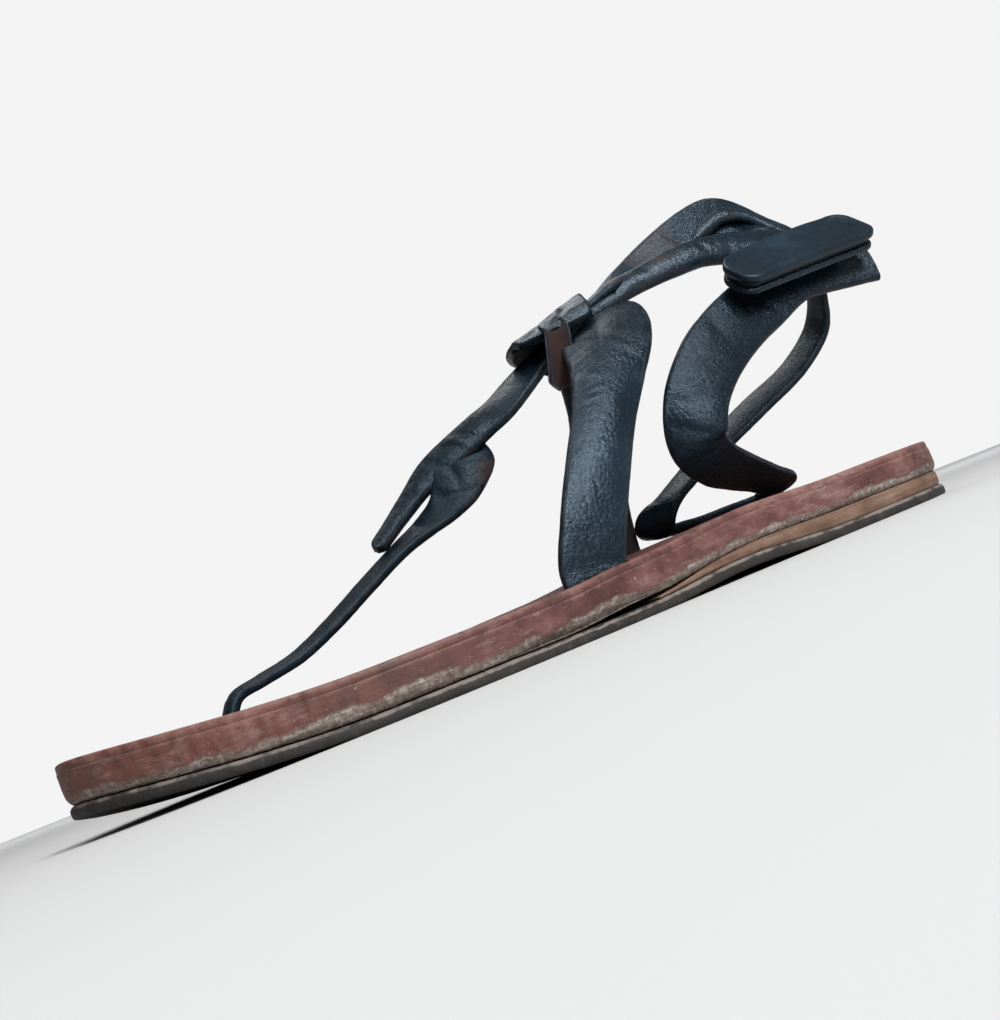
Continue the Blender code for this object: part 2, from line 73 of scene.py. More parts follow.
# ---------------------------------------------------------------- strap tables
TOE_STRAP = [
    # x,     y,     z,     nx,   ny,    nz,   w,    h
    (-81.0, 8.0, 8.4, -1.0, 0.0, 0.0, 5.6, 2.8),
    (-81.0, 8.0, 11.8, -1.0, 0.0, 0.0, 5.6, 2.8),
    (-81.0, 8.0, 13.4, -1.0, 0.0, 0.0, 5.6, 2.8),
    (-78.2, 8.0, 17.0, -0.8, 0.0, 0.8, 5.8, 2.6),
    (-72.0, 7.6, 18.4, -0.2, -0.1, 1.0, 6.4, 2.5),
    (-62.0, 7.0, 20.4, -0.3, -0.15, 1.0, 6.8, 2.4),
    (-52.0, 6.5, 24.4, -0.4, -0.2, 1.0, 7.0, 2.4),
    (-41.0, 6.0, 29.8, -0.5, -0.25, 1.0, 7.2, 2.4),
    (-29.5, 5.6, 35.2, -0.5, -0.3, 1.0, 7.4, 2.4),
    (-21.5, 4.6, 38.3, -0.5, -0.5, 0.9, 8.0, 2.4),
    (-15.6, 3.0, 41.2, -0.5, -0.8, 0.7, 9.6, 2.5),
    (-12.0, 2.0, 44.4, -0.45, -1.0, 0.5, 12.2, 2.6),
    (-8.8, 1.8, 48.0, -0.4, -1.0, 0.5, 14.0, 2.6),
    (-5.0, 2.8, 51.6, -0.4, -1.0, 0.5, 14.0, 2.4),
    (-1.0, 4.2, 55.0, -0.4, -1.0, 0.6, 10.6, 2.2),
]
INSTEP_STRAP = [
    # x,     y,     z,     nx,   ny,    nz,   w,    h
    (-34.0, 8.0, 37.4, -0.6, -0.9, 0.6, 4.4, 2.2),
    (-28.0, 8.3, 41.3, -0.6, -0.9, 0.6, 4.8, 2.2),
    (-20.6, 8.0, 46.2, -0.6, -0.9, 0.6, 6.0, 2.2),
    (-14.0, 6.4, 50.6, -0.6, -0.9, 0.6, 7.8, 2.3),
    (-7.4, 3.4, 53.8, -0.55, -0.9, 0.7, 9.0, 2.4),
    (-0.6, 0.8, 56.6, -0.5, -0.9, 0.7, 8.6, 2.4),
    (6.5, 0.9, 59.2, -0.5, -0.7, 0.8, 9.4, 2.4),
    (16.0, 2.0, 64.2, -0.5, -0.45, 1.0, 11.0, 2.4),
    (26.0, 1.6, 69.6, -0.4, -0.2, 1.0, 11.5, 2.2),
    (36.5, 0.6, 73.6, -0.38, 0.0, 1.0, 11.5, 2.2),
]
LATERAL_STRAP = [
    # x,     y,     z,     nx,   ny,    nz,   w,    h
    (-8.4, -36.6, 8.8, -0.2, -1.0, 0.0, 15.4, 2.1),
    (-8.4, -36.6, 12.2, -0.2, -1.0, 0.0, 15.4, 2.1),
    (-8.4, -36.6, 14.2, -0.2, -1.0, 0.0, 15.4, 2.1),
    (-4.1, -38.0, 24.5, -0.2, -1.0, 0.1, 15.0, 2.1),
    (3.4, -37.0, 36.0, -0.25, -1.0, 0.2, 14.6, 2.1),
    (12.5, -32.5, 46.5, -0.25, -1.0, 0.4, 14.8, 2.1),
    (22.3, -25.5, 56.5, -0.3, -1.0, 0.6, 17.6, 2.1),
    (31.5, -16.5, 66.0, -0.35, -0.8, 1.0, 22.6, 2.1),
    (36.5, -7.0, 71.0, -0.38, -0.2, 1.0, 23.0, 2.1),
    (36.5, 3.0, 72.6, -0.38, 0.1, 1.0, 18.0, 2.0),
]
MEDIAL_STRAP = [
    # x,     y,     z,     nx,   ny,    nz,   w,    h
    (33.5, 20.8, 10.2, 0.1, 1.0, 0.0, 16.6, 2.1),
    (33.5, 20.8, 14.6, 0.1, 1.0, 0.0, 16.6, 2.1),
    (33.6, 20.9, 16.6, 0.1, 1.0, 0.0, 16.6, 2.1),
    (36.5, 22.4, 27.0, 0.1, 1.0, 0.1, 16.0, 2.1),
    (40.5, 21.4, 41.0, 0.0, 1.0, 0.3, 15.6, 2.1),
    (43.0, 17.6, 56.0, -0.1, 0.9, 0.6, 16.0, 2.1),
    (39.0, 10.8, 68.0, -0.3, 0.6, 1.0, 16.5, 2.1),
    (28.5, 2.4, 75.2, -0.42, 0.05, 1.0, 25.0, 2.2),
    (26.0, -4.4, 74.6, -0.4, -0.5, 1.0, 22.6, 2.2),
    (25.0, -8.0, 71.6, -0.35, -1.0, 0.5, 20.4, 2.2),
]
BAND_FOLD = [
    # x,     y,     z,     nx,   ny,    nz,   w,    h
    (25.6, -5.4, 72.6, -0.4, -0.6, 1.0, 6.4, 1.7),
    (23.6, -8.8, 70.2, -0.35, -1.0, 0.5, 6.4, 1.7),
    (21.2, -10.2, 65.8, -0.3, -1.0, 0.1, 6.6, 1.7),
    (18.9, -10.7, 60.6, -0.3, -1.0, 0.0, 6.4, 1.7),
    (17.6, -10.7, 57.2, -0.3, -1.0, 0.0, 6.4, 1.7),
]
LINK_ROOT = [
    # x,     y,     z,     nx,   ny,    nz,   w,    h
    (35.0,   0.6,  74.6,  -0.38, 0.0,   1.0,  8.6,  1.6),
    (42.8,  -0.4,  77.6,  -0.38, 0.0,   1.0, 10.4,  1.9),
    (46.5,  -0.6,  78.9,  -0.38, 0.0,   1.0, 11.6,  2.1),
    (51.0,   0.0,  79.9,  -0.35, 0.0,   1.0, 11.0,  2.4),
    (56.0,   0.0,  80.6,  -0.35, 0.0,   1.0, 10.0,  2.2),
]
LINK_OUTER = [
    # x,     y,     z,     nx,   ny,    nz,   w,    h
    (38.2,  -2.6,  74.9,  -0.4, -0.55,  0.9,  6.4,  1.8),
    (43.5,  -3.2,  76.6,  -0.4, -0.65,  0.8,  7.8,  2.2),
    (48.5,  -3.6,  78.0,  -0.35, -0.8,  0.7,  8.0,  2.6),
    (55.0,  -4.8,  79.0,  -0.3, -0.9,   0.7,  7.4,  3.0),
    (65.0,  -6.4,  80.4,  -0.2, -1.0,   0.6,  8.2,  3.0),
    (75.0,  -7.4,  81.0,  -0.1, -1.0,   0.4,  8.4,  2.8),
    (85.0,  -8.0,  79.8,   0.0, -1.0,   0.3,  9.4,  2.5),
    (95.0,  -9.0,  77.5,   0.0, -1.0,   0.4, 11.0,  2.1),
    (104.0, -9.6,  75.6,   0.0, -1.0,   0.4, 10.2,  2.1),
]
LINK_INNER = [
    # x,     y,     z,     nx,   ny,    nz,   w,    h
    (48.0, 2.2, 79.2, -0.35, -0.2, 1.0, 5.2, 2.2),
    (55.5, 2.6, 81.6, -0.4, -0.7, 0.9, 7.6, 2.1),
    (63.8, 2.4, 83.6, -0.4, -0.9, 0.5, 10.0, 2.1),
    (73.5, 2.2, 86.0, -0.35, -0.95, 0.25, 12.4, 2.1),
    (83.0, 1.8, 87.7, -0.2, -0.95, 0.2, 15.2, 2.1),
    (91.0, 1.2, 88.6, 0.0, -0.95, 0.2, 16.0, 2.1),
    (97.0, 0.2, 87.4, 0.3, -0.95, 0.3, 15.0, 2.1),
    (101.4, -2.0, 84.6, 0.4, -0.95, 0.4, 12.6, 2.1),
    (104.0, -6.0, 80.6, 0.3, -1.0, 0.4, 10.0, 2.0),
    (104.5, -9.2, 75.8, 0.1, -1.0, 0.4, 9.0, 2.0),
]
# thin rolled rim along the top of the link's inner strand
LINK_RIM = [
    # x,     y,     z,     nx,   ny,    nz,   w,    h
    (80.5,  -0.2,  85.6,  -0.3,  -0.9,  0.7,  3.0,  1.8),
    (85.6,  -0.9,  88.6,  -0.3,  -0.9,  0.8,  4.2,  2.2),
    (91.8,  -1.5,  90.4,   0.0,  -0.9,  0.8,  4.6,  2.2),
    (98.0,  -2.2,  88.8,   0.3,  -0.9,  0.7,  4.4,  2.0),
    (102.6, -4.2,  84.2,   0.4,  -0.9,  0.6,  4.0,  1.8),
    (104.4, -7.4,  79.6,   0.3,  -1.0,  0.4,  3.6,  1.6),
]
ANKLE_STRAP = [
    # x,     y,     z,     nx,   ny,    nz,   w,    h
    (117.0, -19.8, 63.8,  -0.2, -1.0,   0.4, 12.0,  2.0),
    (105.0, -17.8, 65.2,  -0.2, -1.0,   0.4, 13.0,  2.0),
    (93.0,  -16.6, 65.8,  -0.2, -1.0,   0.4, 13.8,  2.0),
    (80.0,  -16.8, 62.6,  -0.2, -1.0,   0.3, 16.0,  2.0),
    (66.5,  -18.2, 57.6,  -0.3, -1.0,   0.2, 16.5,  2.0),
    (54.5,  -20.0, 51.0,  -0.4, -1.0,   0.1, 16.5,  2.0),
    (46.0,  -20.4, 42.4,  -0.5, -1.0,   0.0, 16.0,  2.0),
    (44.0,  -18.4, 33.6,  -0.6, -1.0,  -0.1, 15.0,  2.0),
    (50.0,  -14.0, 27.6,  -0.6, -1.0,  -0.4, 13.0,  2.0),
    (59.5,  -8.6,  23.6,  -0.5, -0.9,  -0.9, 11.5,  2.0),
    (70.0,  -3.0,  20.0,  -0.3, -0.5,  -1.0, 10.5,  2.0),
    (79.5,   4.0,  17.2,   0.0, -0.2,  -1.0, 10.5,  2.0),
    (80.5,  13.0,  16.4,   0.0,  0.0,  -1.0, 10.5,  2.0),
    (70.0,  19.0,  16.4,   0.0,  0.0,  -1.0, 10.5,  2.0),
    (55.0,  19.2,  16.6,   0.0,  0.0,  -1.0, 10.5,  2.0),
    (44.5,  14.4,  18.2,  -0.5, -0.1,  -0.9, 10.5,  2.0),
    (46.0,  10.6,  23.0,  -1.0, -0.1,   0.2, 10.5,  2.0),
    (56.0,   9.6,  28.6,  -0.6, -0.2,   1.0, 10.5,  2.0),
    (69.0,   8.6,  34.2,  -0.5, -0.3,   1.0, 11.0,  2.0),
    (83.0,   5.6,  40.2,  -0.5, -0.4,   1.0, 10.8,  2.0),
    (96.0,   0.6,  46.0,  -0.8, -0.2,   0.8, 10.5,  2.0),
    (103.8, -4.6,  53.6,  -1.0,  0.1,   0.35, 10.5,  2.0),
    (104.4, -9.0,  61.4,  -1.0,  0.4,   0.1, 10.5,  2.0),
    (104.2, -11.0,  66.4,  -1.0,  0.5,   0.0, 9.0,  1.8),
]
TAB_CENTRE = (91.9, -21.9, 70.6)
TAB_SIZE = (44.0, 14.4, 5.4)
TAB_CORNERS = (5.0, 7.0, 4.0, 3.2)
TAB_TURN, TAB_TILT, TAB_LEAN = -3.0, 49.5, 3.2


# =================================================================== materials
def node(nt, kind, inputs=None, **props):
    n = nt.nodes.new(kind)
    for k, v in props.items():
        setattr(n, k, v)
    for k, v in (inputs or {}).items():
        sock = n.inputs[k]
        if isinstance(v, bpy.types.NodeSocket):
            nt.links.new(v, sock)
        else:
            sock.default_value = v
    return n


def new_material(name, roughness=0.5, **uniform):
    mat = bpy.data.materials.new(name)
    mat.use_nodes = True
    nt = mat.node_tree
    bsdf = nt.nodes["Principled BSDF"]
    bsdf.inputs["Roughness"].default_value = roughness
    for k, v in uniform.items():
        bsdf.inputs[k.replace("_", " ")].default_value = v
    return mat, nt, bsdf


def obj_coords(nt, scale=(1, 1, 1), rotation=(0, 0, 0)):
    tc = node(nt, "ShaderNodeTexCoord")
    mp = node(nt, "ShaderNodeMapping", {"Vector": tc.outputs["Object"], "Scale": scale, "Rotation": rotation})
    return mp.outputs["Vector"]


def uv_coords(nt, scale=(1, 1, 1)):
    uv = node(nt, "ShaderNodeUVMap", uv_map="run")
    mp = node(nt, "ShaderNodeMapping", {"Vector": uv.outputs["UV"], "Scale": scale})
    return mp.outputs["Vector"]


def tex_noise(nt, vec, scale, detail=4.0, rough=0.55, distortion=0.0):
    n = node(nt, "ShaderNodeTexNoise", {"Vector": vec, "Scale": scale, "Detail": detail, "Roughness": rough,
                                        "Distortion": distortion})
    return n.outputs["Fac"]


def tex_voronoi(nt, vec, scale, feature="F1", randomness=1.0):
    n = node(nt, "ShaderNodeTexVoronoi", {"Vector": vec, "Scale": scale, "Randomness": randomness}, feature=feature)
    return n.outputs["Distance"]


def attr(nt, name):
    return node(nt, "ShaderNodeAttribute", attribute_name=name).outputs["Fac"]


def remap(nt, fac, lo, hi, a=0.0, b=1.0, smooth=True):
    n = node(nt, "ShaderNodeMapRange", {"Value": fac, "From Min": lo, "From Max": hi, "To Min": a, "To Max": b},
             interpolation_type="SMOOTHSTEP" if smooth else "LINEAR")
    return n.outputs["Result"]


def maths(nt, op, a, b=0.0, clamp=False):
    n = node(nt, "ShaderNodeMath", {0: a, 1: b}, operation=op, use_clamp=clamp)
    return n.outputs[0]


def mix(nt, fac, a, b, blend="MIX"):
    n = node(nt, "ShaderNodeMix", data_type="RGBA", blend_type=blend, clamp_factor=True)
    for idx, v in ((0, fac), (6, a), (7, b)):
        if isinstance(v, bpy.types.NodeSocket):
            nt.links.new(v, n.inputs[idx])
        elif idx == 0:
            n.inputs[idx].default_value = v
        else:
            n.inputs[idx].default_value = (*v, 1.0)
    return n.outputs[2]


def ramp(nt, fac, stops):
    n = node(nt, "ShaderNodeValToRGB", {"Fac": fac})
    el = n.color_ramp.elements
    el[0].position, el[0].color = stops[0][0], (*stops[0][1], 1)
    el[1].position, el[1].color = stops[-1][0], (*stops[-1][1], 1)
    for p, c in stops[1:-1]:
        e = el.new(p)
        e.color = (*c, 1)
    return n.outputs["Color"]


def bump(nt, height, strength, distance, below=None):
    inputs = {"Height": height, "Strength": strength, "Distance": distance}
    if below is not None:
        inputs["Normal"] = below
    return node(nt, "ShaderNodeBump", inputs).outputs["Normal"]


def navy_leather(name, rough=(0.34, 0.56), grain=1.0, tint=1.0, worn=0.30, coat=(0.35, 0.20), spec=0.30):
    """Aniline-dyed strap leather: near-black navy, satin, fine grain, brown where rubbed."""
    mat, nt, bsdf = new_material(name, Specular_IOR_Level=spec)
    bsdf.inputs["Specular Tint"].default_value = (0.60, 0.80, 1.0, 1.0)
    bsdf.inputs["Coat Weight"].default_value = coat[0]
    bsdf.inputs["Coat Roughness"].default_value = coat[1]
    oc = obj_coords(nt)
    broad = tex_noise(nt, oc, 42.0, 3.0)
    mid = tex_noise(nt, oc, 240.0, 4.0, 0.6)
    fine = tex_noise(nt, oc, 1500.0, 3.0, 0.6)
    base = ramp(nt, broad, [
        (0.28, (0.0026 * tint, 0.0050 * tint, 0.0078 * tint)),
        (0.50, (0.0040 * tint, 0.0092 * tint, 0.0145 * tint)),
        (0.74, (0.0064 * tint, 0.0155 * tint, 0.0235 * tint)),
    ])
    # blue-grey bloom where the finish has dried
    bloom = remap(nt, maths(nt, "ADD", maths(nt, "MULTIPLY", mid, 0.6), maths(nt, "MULTIPLY", broad, 0.4)), 0.50, 0.66)
    base = mix(nt, maths(nt, "MULTIPLY", bloom, 0.40), base, (0.0140 * tint, 0.0255 * tint, 0.0370 * tint))
    # rubbed edges and handled spots: brown flesh showing through
    rim = attr(nt, "rim")
    tan = attr(nt, "tan")
    rub = remap(nt, maths(nt, "ADD", maths(nt, "MULTIPLY", rim, 0.50), maths(nt, "MULTIPLY", mid, 0.80)), 0.80, 1.00)
    base = mix(nt, maths(nt, "MULTIPLY", rub, worn), base, (0.040, 0.029, 0.025))
    spot = remap(nt, maths(nt, "ADD", tan, maths(nt, "MULTIPLY", maths(nt, "SUBTRACT", mid, 0.5), 1.3)), 0.35, 0.75)
    base = mix(nt, maths(nt, "MULTIPLY", spot, 0.75), base, mix(nt, fine, (0.014, 0.010, 0.009), (0.050, 0.034, 0.027)))
    # thin scuffs running along the strap
    streak = tex_noise(nt, uv_coords(nt, (6.0, 60.0, 1.0)), 9.0, 5.0, 0.7)
    scuff = remap(nt, streak, 0.66, 0.74)
    base = mix(nt, maths(nt, "MULTIPLY", scuff, 0.16), base, (0.050, 0.056, 0.062))
    nt.links.new(base, bsdf.inputs["Base Color"])
    r = remap(nt, maths(nt, "ADD", maths(nt, "MULTIPLY", mid, 0.55), maths(nt, "MULTIPLY", fine, 0.45)), 0.3, 0.7, rough[0], rough[1])
    r = maths(nt, "ADD", r, maths(nt, "MULTIPLY", maths(nt, "ADD", rub, spot), 0.14))
    nt.links.new(r, bsdf.inputs["Roughness"])
    # pebbled grain, pores, and fine cross creases
    cells = tex_voronoi(nt, oc, 1050.0, "F1")
    pores = remap(nt, tex_noise(nt, oc, 2300.0, 2.0), 0.30, 0.48)
    cross = tex_noise(nt, uv_coords(nt, (130.0, 16.0, 1.0)), 4.0, 4.0, 0.62, 0.35)
    n1 = bump(nt, maths(nt, "SUBTRACT", 1.0, cells), 0.30 * grain, 0.00026)
    n2 = bump(nt, pores, 0.12 * grain, 0.00010, n1)
    n3 = bump(nt, cross, 0.34 * grain, 0.00045, n2)
    n4 = bump(nt, mid, 0.22, 0.0006, n3)
    nt.links.new(n4, bsdf.inputs["Normal"])
    nt.links.new(n4, bsdf.inputs["Coat Normal"])
    return mat


def flesh_leather(name, dark=(0.0075, 0.0060, 0.0058), light=(0.026, 0.017, 0.015)):
    """Suede side of a strap: reddish brown, fibrous, matt."""
    mat, nt, bsdf = new_material(name, Specular_IOR_Level=0.2, Sheen_Weight=0.06, Sheen_Roughness=0.5)
    oc = obj_coords(nt)
    a = tex_noise(nt, oc, 160.0, 5.0, 0.65)
    b = tex_noise(nt, oc, 1300.0, 4.0, 0.7)
    nap = tex_noise(nt, uv_coords(nt, (60.0, 160.0, 1.0)), 8.0, 3.0, 0.7)
    f = maths(nt, "ADD", maths(nt, "MULTIPLY", a, 0.5), maths(nt, "MULTIPLY", b, 0.5))
    col = ramp(nt, f, [(0.30, dark), (0.55, tuple((x + y) / 2 for x, y in zip(dark, light))), (0.72, light)])
    nt.links.new(col, bsdf.inputs["Base Color"])
    nt.links.new(remap(nt, b, 0.3, 0.7, 0.78, 0.95), bsdf.inputs["Roughness"])
    n = bump(nt, b, 0.5, 0.00025)
    n = bump(nt, nap, 0.3, 0.0003, n)
    nt.links.new(n, bsdf.inputs["Normal"])
    return mat


def burgundy_edge():
    """Edge of the thick sole leather: dyed and burnished above, bare worn fibre below."""
    mat, nt, bsdf = new_material("midsole_edge", Specular_IOR_Level=0.35)
    oc = obj_coords(nt)
    vf = attr(nt, "vf")
    tt = attr(nt, "tt")
    broad = tex_noise(nt, oc, 22.0, 3.0)
    blot = tex_noise(nt, oc, 120.0, 5.0, 0.65)
    fine = tex_noise(nt, oc, 900.0, 4.0, 0.7)
    layers = tex_noise(nt, obj_coords(nt, (60.0, 60.0, 900.0)), 1.0, 5.0, 0.7, 0.4)
    red = ramp(nt, maths(nt, "ADD", maths(nt, "MULTIPLY", blot, 0.6), maths(nt, "MULTIPLY", broad, 0.4)), [
        (0.34, (0.034, 0.012, 0.011)),
        (0.46, (0.080, 0.029, 0.025)),
        (0.56, (0.125, 0.049, 0.042)),
        (0.68, (0.190, 0.100, 0.089)),
    ])
    # the toe is browner and more orange
    toe = remap(nt, tt, 0.42, 0.05)
    red = mix(nt, maths(nt, "MULTIPLY", toe, 0.55), red, mix(nt, blot, (0.070, 0.021, 0.013), (0.190, 0.070, 0.042)))
    # pale pink scuffs and dusty patches
    sc = tex_noise(nt, obj_coords(nt, (120.0, 120.0, 420.0), (0.25, 0.0, 0.3)), 1.0, 6.0, 0.72, 0.6)
    scuff = remap(nt, maths(nt, "ADD", maths(nt, "MULTIPLY", sc, 0.7), maths(nt, "MULTIPLY", broad, 0.3)), 0.52, 0.68)
    red = mix(nt, maths(nt, "MULTIPLY", scuff, 0.45), red, (0.300, 0.200, 0.182))
    # lighter towards the upper rim
    high = remap(nt, maths(nt, "ADD", vf, maths(nt, "MULTIPLY", maths(nt, "SUBTRACT", blot, 0.5), 0.45)), 0.90, 1.04)
    red = mix(nt, maths(nt, "MULTIPLY", high, 0.50), red, (0.235, 0.120, 0.100))
    # dark grime in the layer lines
    red = mix(nt, maths(nt, "MULTIPLY", remap(nt, layers, 0.42, 0.30), 0.55), red, (0.022, 0.010, 0.010))
    # bare fibre towards the bottom, ragged at its border
    h = maths(nt, "ADD", vf, maths(nt, "MULTIPLY", maths(nt, "SUBTRACT", blot, 0.5), 0.75))
    h = maths(nt, "ADD", h, maths(nt, "MULTIPLY", maths(nt, "SUBTRACT", broad, 0.5), 0.50))
    bare = remap(nt, h, 0.38, 0.22)
    fibre = ramp(nt, maths(nt, "ADD", maths(nt, "MULTIPLY", fine, 0.55), maths(nt, "MULTIPLY", layers, 0.45)), [
        (0.30, (0.035, 0.024, 0.020)),
        (0.48, (0.165, 0.128, 0.108)),
        (0.64, (0.430, 0.380, 0.340)),
    ])
    col = mix(nt, maths(nt, "MULTIPLY", bare, 0.85), red, fibre)
    # small pale nicks and hairline scratches
    nick = remap(nt, tex_noise(nt, obj_coords(nt, (330.0, 330.0, 700.0), (0.4, 0.0, 0.0)), 1.0, 3.0, 0.75), 0.66, 0.72)
    col = mix(nt, maths(nt, "MULTIPLY", nick, 0.6), col, (0.360, 0.270, 0.245))
    dark = remap(nt, tex_noise(nt, obj_coords(nt, (210.0, 210.0, 330.0), (0.0, 0.3, 0.0)), 1.0, 4.0, 0.7), 0.38, 0.30)
    col = mix(nt, maths(nt, "MULTIPLY", dark, 0.55), col, (0.026, 0.012, 0.011))
    nt.links.new(col, bsdf.inputs["Base Color"])
    r = remap(nt, blot, 0.3, 0.7, 0.42, 0.66)
    r = maths(nt, "ADD", r, maths(nt, "MULTIPLY", bare, 0.25), True)
    nt.links.new(r, bsdf.inputs["Roughness"])
    wr = tex_noise(nt, obj_coords(nt, (420.0, 420.0, 70.0)), 1.0, 3.0, 0.6, 0.5)
    n = bump(nt, layers, 0.35, 0.00035)
    n = bump(nt, fine, 0.22, 0.0002, n)
    n = bump(nt, wr, 0.30, 0.00045, n)
    n = bump(nt, blot, 0.30, 0.0008, n)
    nt.links.new(n, bsdf.inputs["Normal"])
    return mat


def footbed_leather():
    """Insole cover: worn dark red-brown leather, polished where the foot presses."""
    mat, nt, bsdf = new_material("footbed_leather", Specular_IOR_Level=0.4)
    oc = obj_coords(nt)
    press = attr(nt, "press")
    broad = tex_noise(nt, oc, 26.0, 4.0)
    blot = tex_noise(nt, oc, 130.0, 5.0, 0.62)
    fine = tex_noise(nt, oc, 1200.0, 3.0, 0.6)
    col = ramp(nt, maths(nt, "ADD", maths(nt, "MULTIPLY", broad, 0.5), maths(nt, "MULTIPLY", blot, 0.5)), [
        (0.32, (0.060, 0.018, 0.014)),
        (0.52, (0.105, 0.034, 0.027)),
        (0.72, (0.165, 0.066, 0.050)),
    ])
    col = mix(nt, maths(nt, "MULTIPLY", press, 0.62), col, (0.030, 0.014, 0.012))
    nt.links.new(col, bsdf.inputs["Base Color"])
    r = remap(nt, blot, 0.3, 0.7, 0.46, 0.68)
    r = maths(nt, "SUBTRACT", r, maths(nt, "MULTIPLY", press, 0.14))
    nt.links.new(r, bsdf.inputs["Roughness"])
    cells = tex_voronoi(nt, oc, 900.0, "F1")
    n = bump(nt, maths(nt, "SUBTRACT", 1.0, cells), 0.18, 0.0002)
    n = bump(nt, blot, 0.25, 0.0005, n)
    n = bump(nt, fine, 0.12, 0.0001, n)
    nt.links.new(n, bsdf.inputs["Normal"])
    return mat


def wedge_leather():
    """Bare stacked heel leather: tan to brown in thin horizontal lines."""
    mat, nt, bsdf = new_material("wedge_edge", Specular_IOR_Level=0.3)
    oc = obj_coords(nt)
    blot = tex_noise(nt, oc, 110.0, 5.0, 0.65)
    fine = tex_noise(nt, oc, 950.0, 4.0, 0.7)
    lines = tex_noise(nt, obj_coords(nt, (45.0, 45.0, 1100.0)), 1.0, 4.0, 0.65, 0.3)
    col = ramp(nt, maths(nt, "ADD", maths(nt, "MULTIPLY", blot, 0.55), maths(nt, "MULTIPLY", lines, 0.45)), [
        (0.30, (0.050, 0.026, 0.018)),
        (0.50, (0.150, 0.084, 0.056)),
        (0.70, (0.270, 0.180, 0.130)),
    ])
    nt.links.new(col, bsdf.inputs["Base Color"])
    nt.links.new(remap(nt, blot, 0.3, 0.7, 0.58, 0.82), bsdf.inputs["Roughness"])
    n = bump(nt, lines, 0.4, 0.0003)
    n = bump(nt, fine, 0.25, 0.0002, n)
    nt.links.new(n, bsdf.inputs["Normal"])
    return mat


def outsole_rubber():
    """Dark resin rubber: dusty, chipped pale along its edge."""
    mat, nt, bsdf = new_material("outsole_rubber", Specular_IOR_Level=0.35)
    oc = obj_coords(nt)
    rim = attr(nt, "rim")
    broad = tex_noise(nt, oc, 24.0, 4.0)
    blot = tex_noise(nt, oc, 150.0, 5.0, 0.68)
    fine = tex_noise(nt, oc, 1100.0, 4.0, 0.7)
    drag = tex_noise(nt, obj_coords(nt, (50.0, 520.0, 200.0), (0.0, 0.0, 0.12)), 1.0, 5.0, 0.7)
    col = ramp(nt, maths(nt, "ADD", maths(nt, "MULTIPLY", broad, 0.5), maths(nt, "MULTIPLY", blot, 0.5)), [
        (0.32, (0.0110, 0.0090, 0.0080)),
        (0.52, (0.0230, 0.0190, 0.0165)),
        (0.72, (0.0480, 0.0410, 0.0360)),
    ])
    dust = remap(nt, maths(nt, "ADD", maths(nt, "MULTIPLY", drag, 0.6), maths(nt, "MULTIPLY", fine, 0.4)), 0.52, 0.70)
    col = mix(nt, maths(nt, "MULTIPLY", dust, 0.45), col, (0.115, 0.100, 0.088))
    chip = remap(nt, maths(nt, "ADD", maths(nt, "MULTIPLY", rim, 0.55), maths(nt, "MULTIPLY", blot, 0.85)), 0.84, 1.04)
    col = mix(nt, maths(nt, "MULTIPLY", chip, 0.75), col, (0.205, 0.170, 0.145))
    nt.links.new(col, bsdf.inputs["Base Color"])
    nt.links.new(remap(nt, fine, 0.3, 0.7, 0.62, 0.88), bsdf.inputs["Roughness"])
    n = bump(nt, fine, 0.25, 0.0002)
    n = bump(nt, drag, 0.18, 0.0003, n)
    n = bump(nt, blot, 0.30, 0.0006, n)
    nt.links.new(n, bsdf.inputs["Normal"])
    return mat


def thread_material():
    mat, nt, bsdf = new_material("waxed_thread", Specular_IOR_Level=0.4)
    oc = obj_coords(nt)
    f = tex_noise(nt, oc, 1800.0, 3.0, 0.6)
    nt.links.new(ramp(nt, f, [(0.3, (0.006, 0.008, 0.012)), (0.7, (0.030, 0.034, 0.042))]), bsdf.inputs["Base Color"])
    nt.links.new(remap(nt, f, 0.3, 0.7, 0.5, 0.75), bsdf.inputs["Roughness"])
    tw = node(nt, "ShaderNodeTexWave", {"Vector": oc, "Scale": 900.0, "Distortion": 2.0}, bands_direction="DIAGONAL")
    nt.links.new(bump(nt, tw.outputs["Fac"], 0.4, 0.0001), bsdf.inputs["Normal"])
    return mat


# near-black finish: painted shadow for the cut round each strap's foot
def slit_shadow_material():
    mat, nt, bsdf = new_material("cut_slit_painted_shadow", Specular_IOR_Level=0.1)
    f = tex_noise(nt, obj_coords(nt), 700.0, 3.0, 0.6)
    nt.links.new(ramp(nt, f, [(0.3, (0.004, 0.003, 0.003)), (0.7, (0.016, 0.010, 0.009))]), bsdf.inputs["Base Color"])
    nt.links.new(remap(nt, f, 0.3, 0.7, 0.85, 0.98), bsdf.inputs["Roughness"])
    return mat


MAT_STRAP = navy_leather("strap_leather_navy", (0.19, 0.34), coat=(0.12, 0.15))
MAT_GLOSS = navy_leather("strap_leather_polished", (0.18, 0.32), 0.8, 1.0, 0.30, (0.24, 0.12))
MAT_DULL = navy_leather("strap_leather_dull", (0.30, 0.48), 1.0, 0.80, 0.45, (0.10, 0.24), 0.18)
MAT_KNOT = navy_leather("strap_leather_dark", (0.18, 0.32), 1.0, 0.75, 0.30, (0.14, 0.13), 0.17)
MAT_ANKLE = navy_leather("strap_leather_ankle", (0.20, 0.36), 1.0, 0.85, 0.30, (0.10, 0.16), 0.22)
MAT_TAB = navy_leather("tab_leather_smooth", (0.26, 0.40), 0.40, 1.25, 0.25, (0.16, 0.22))
MAT_FLESH = flesh_leather("strap_flesh_side")
MAT_LINING = flesh_leather("strap_lining_red", (0.010, 0.0042, 0.0040), (0.034, 0.0125, 0.0105))
MAT_EDGE = burgundy_edge()
MAT_FOOT = footbed_leather()
MAT_WEDGE = wedge_leather()
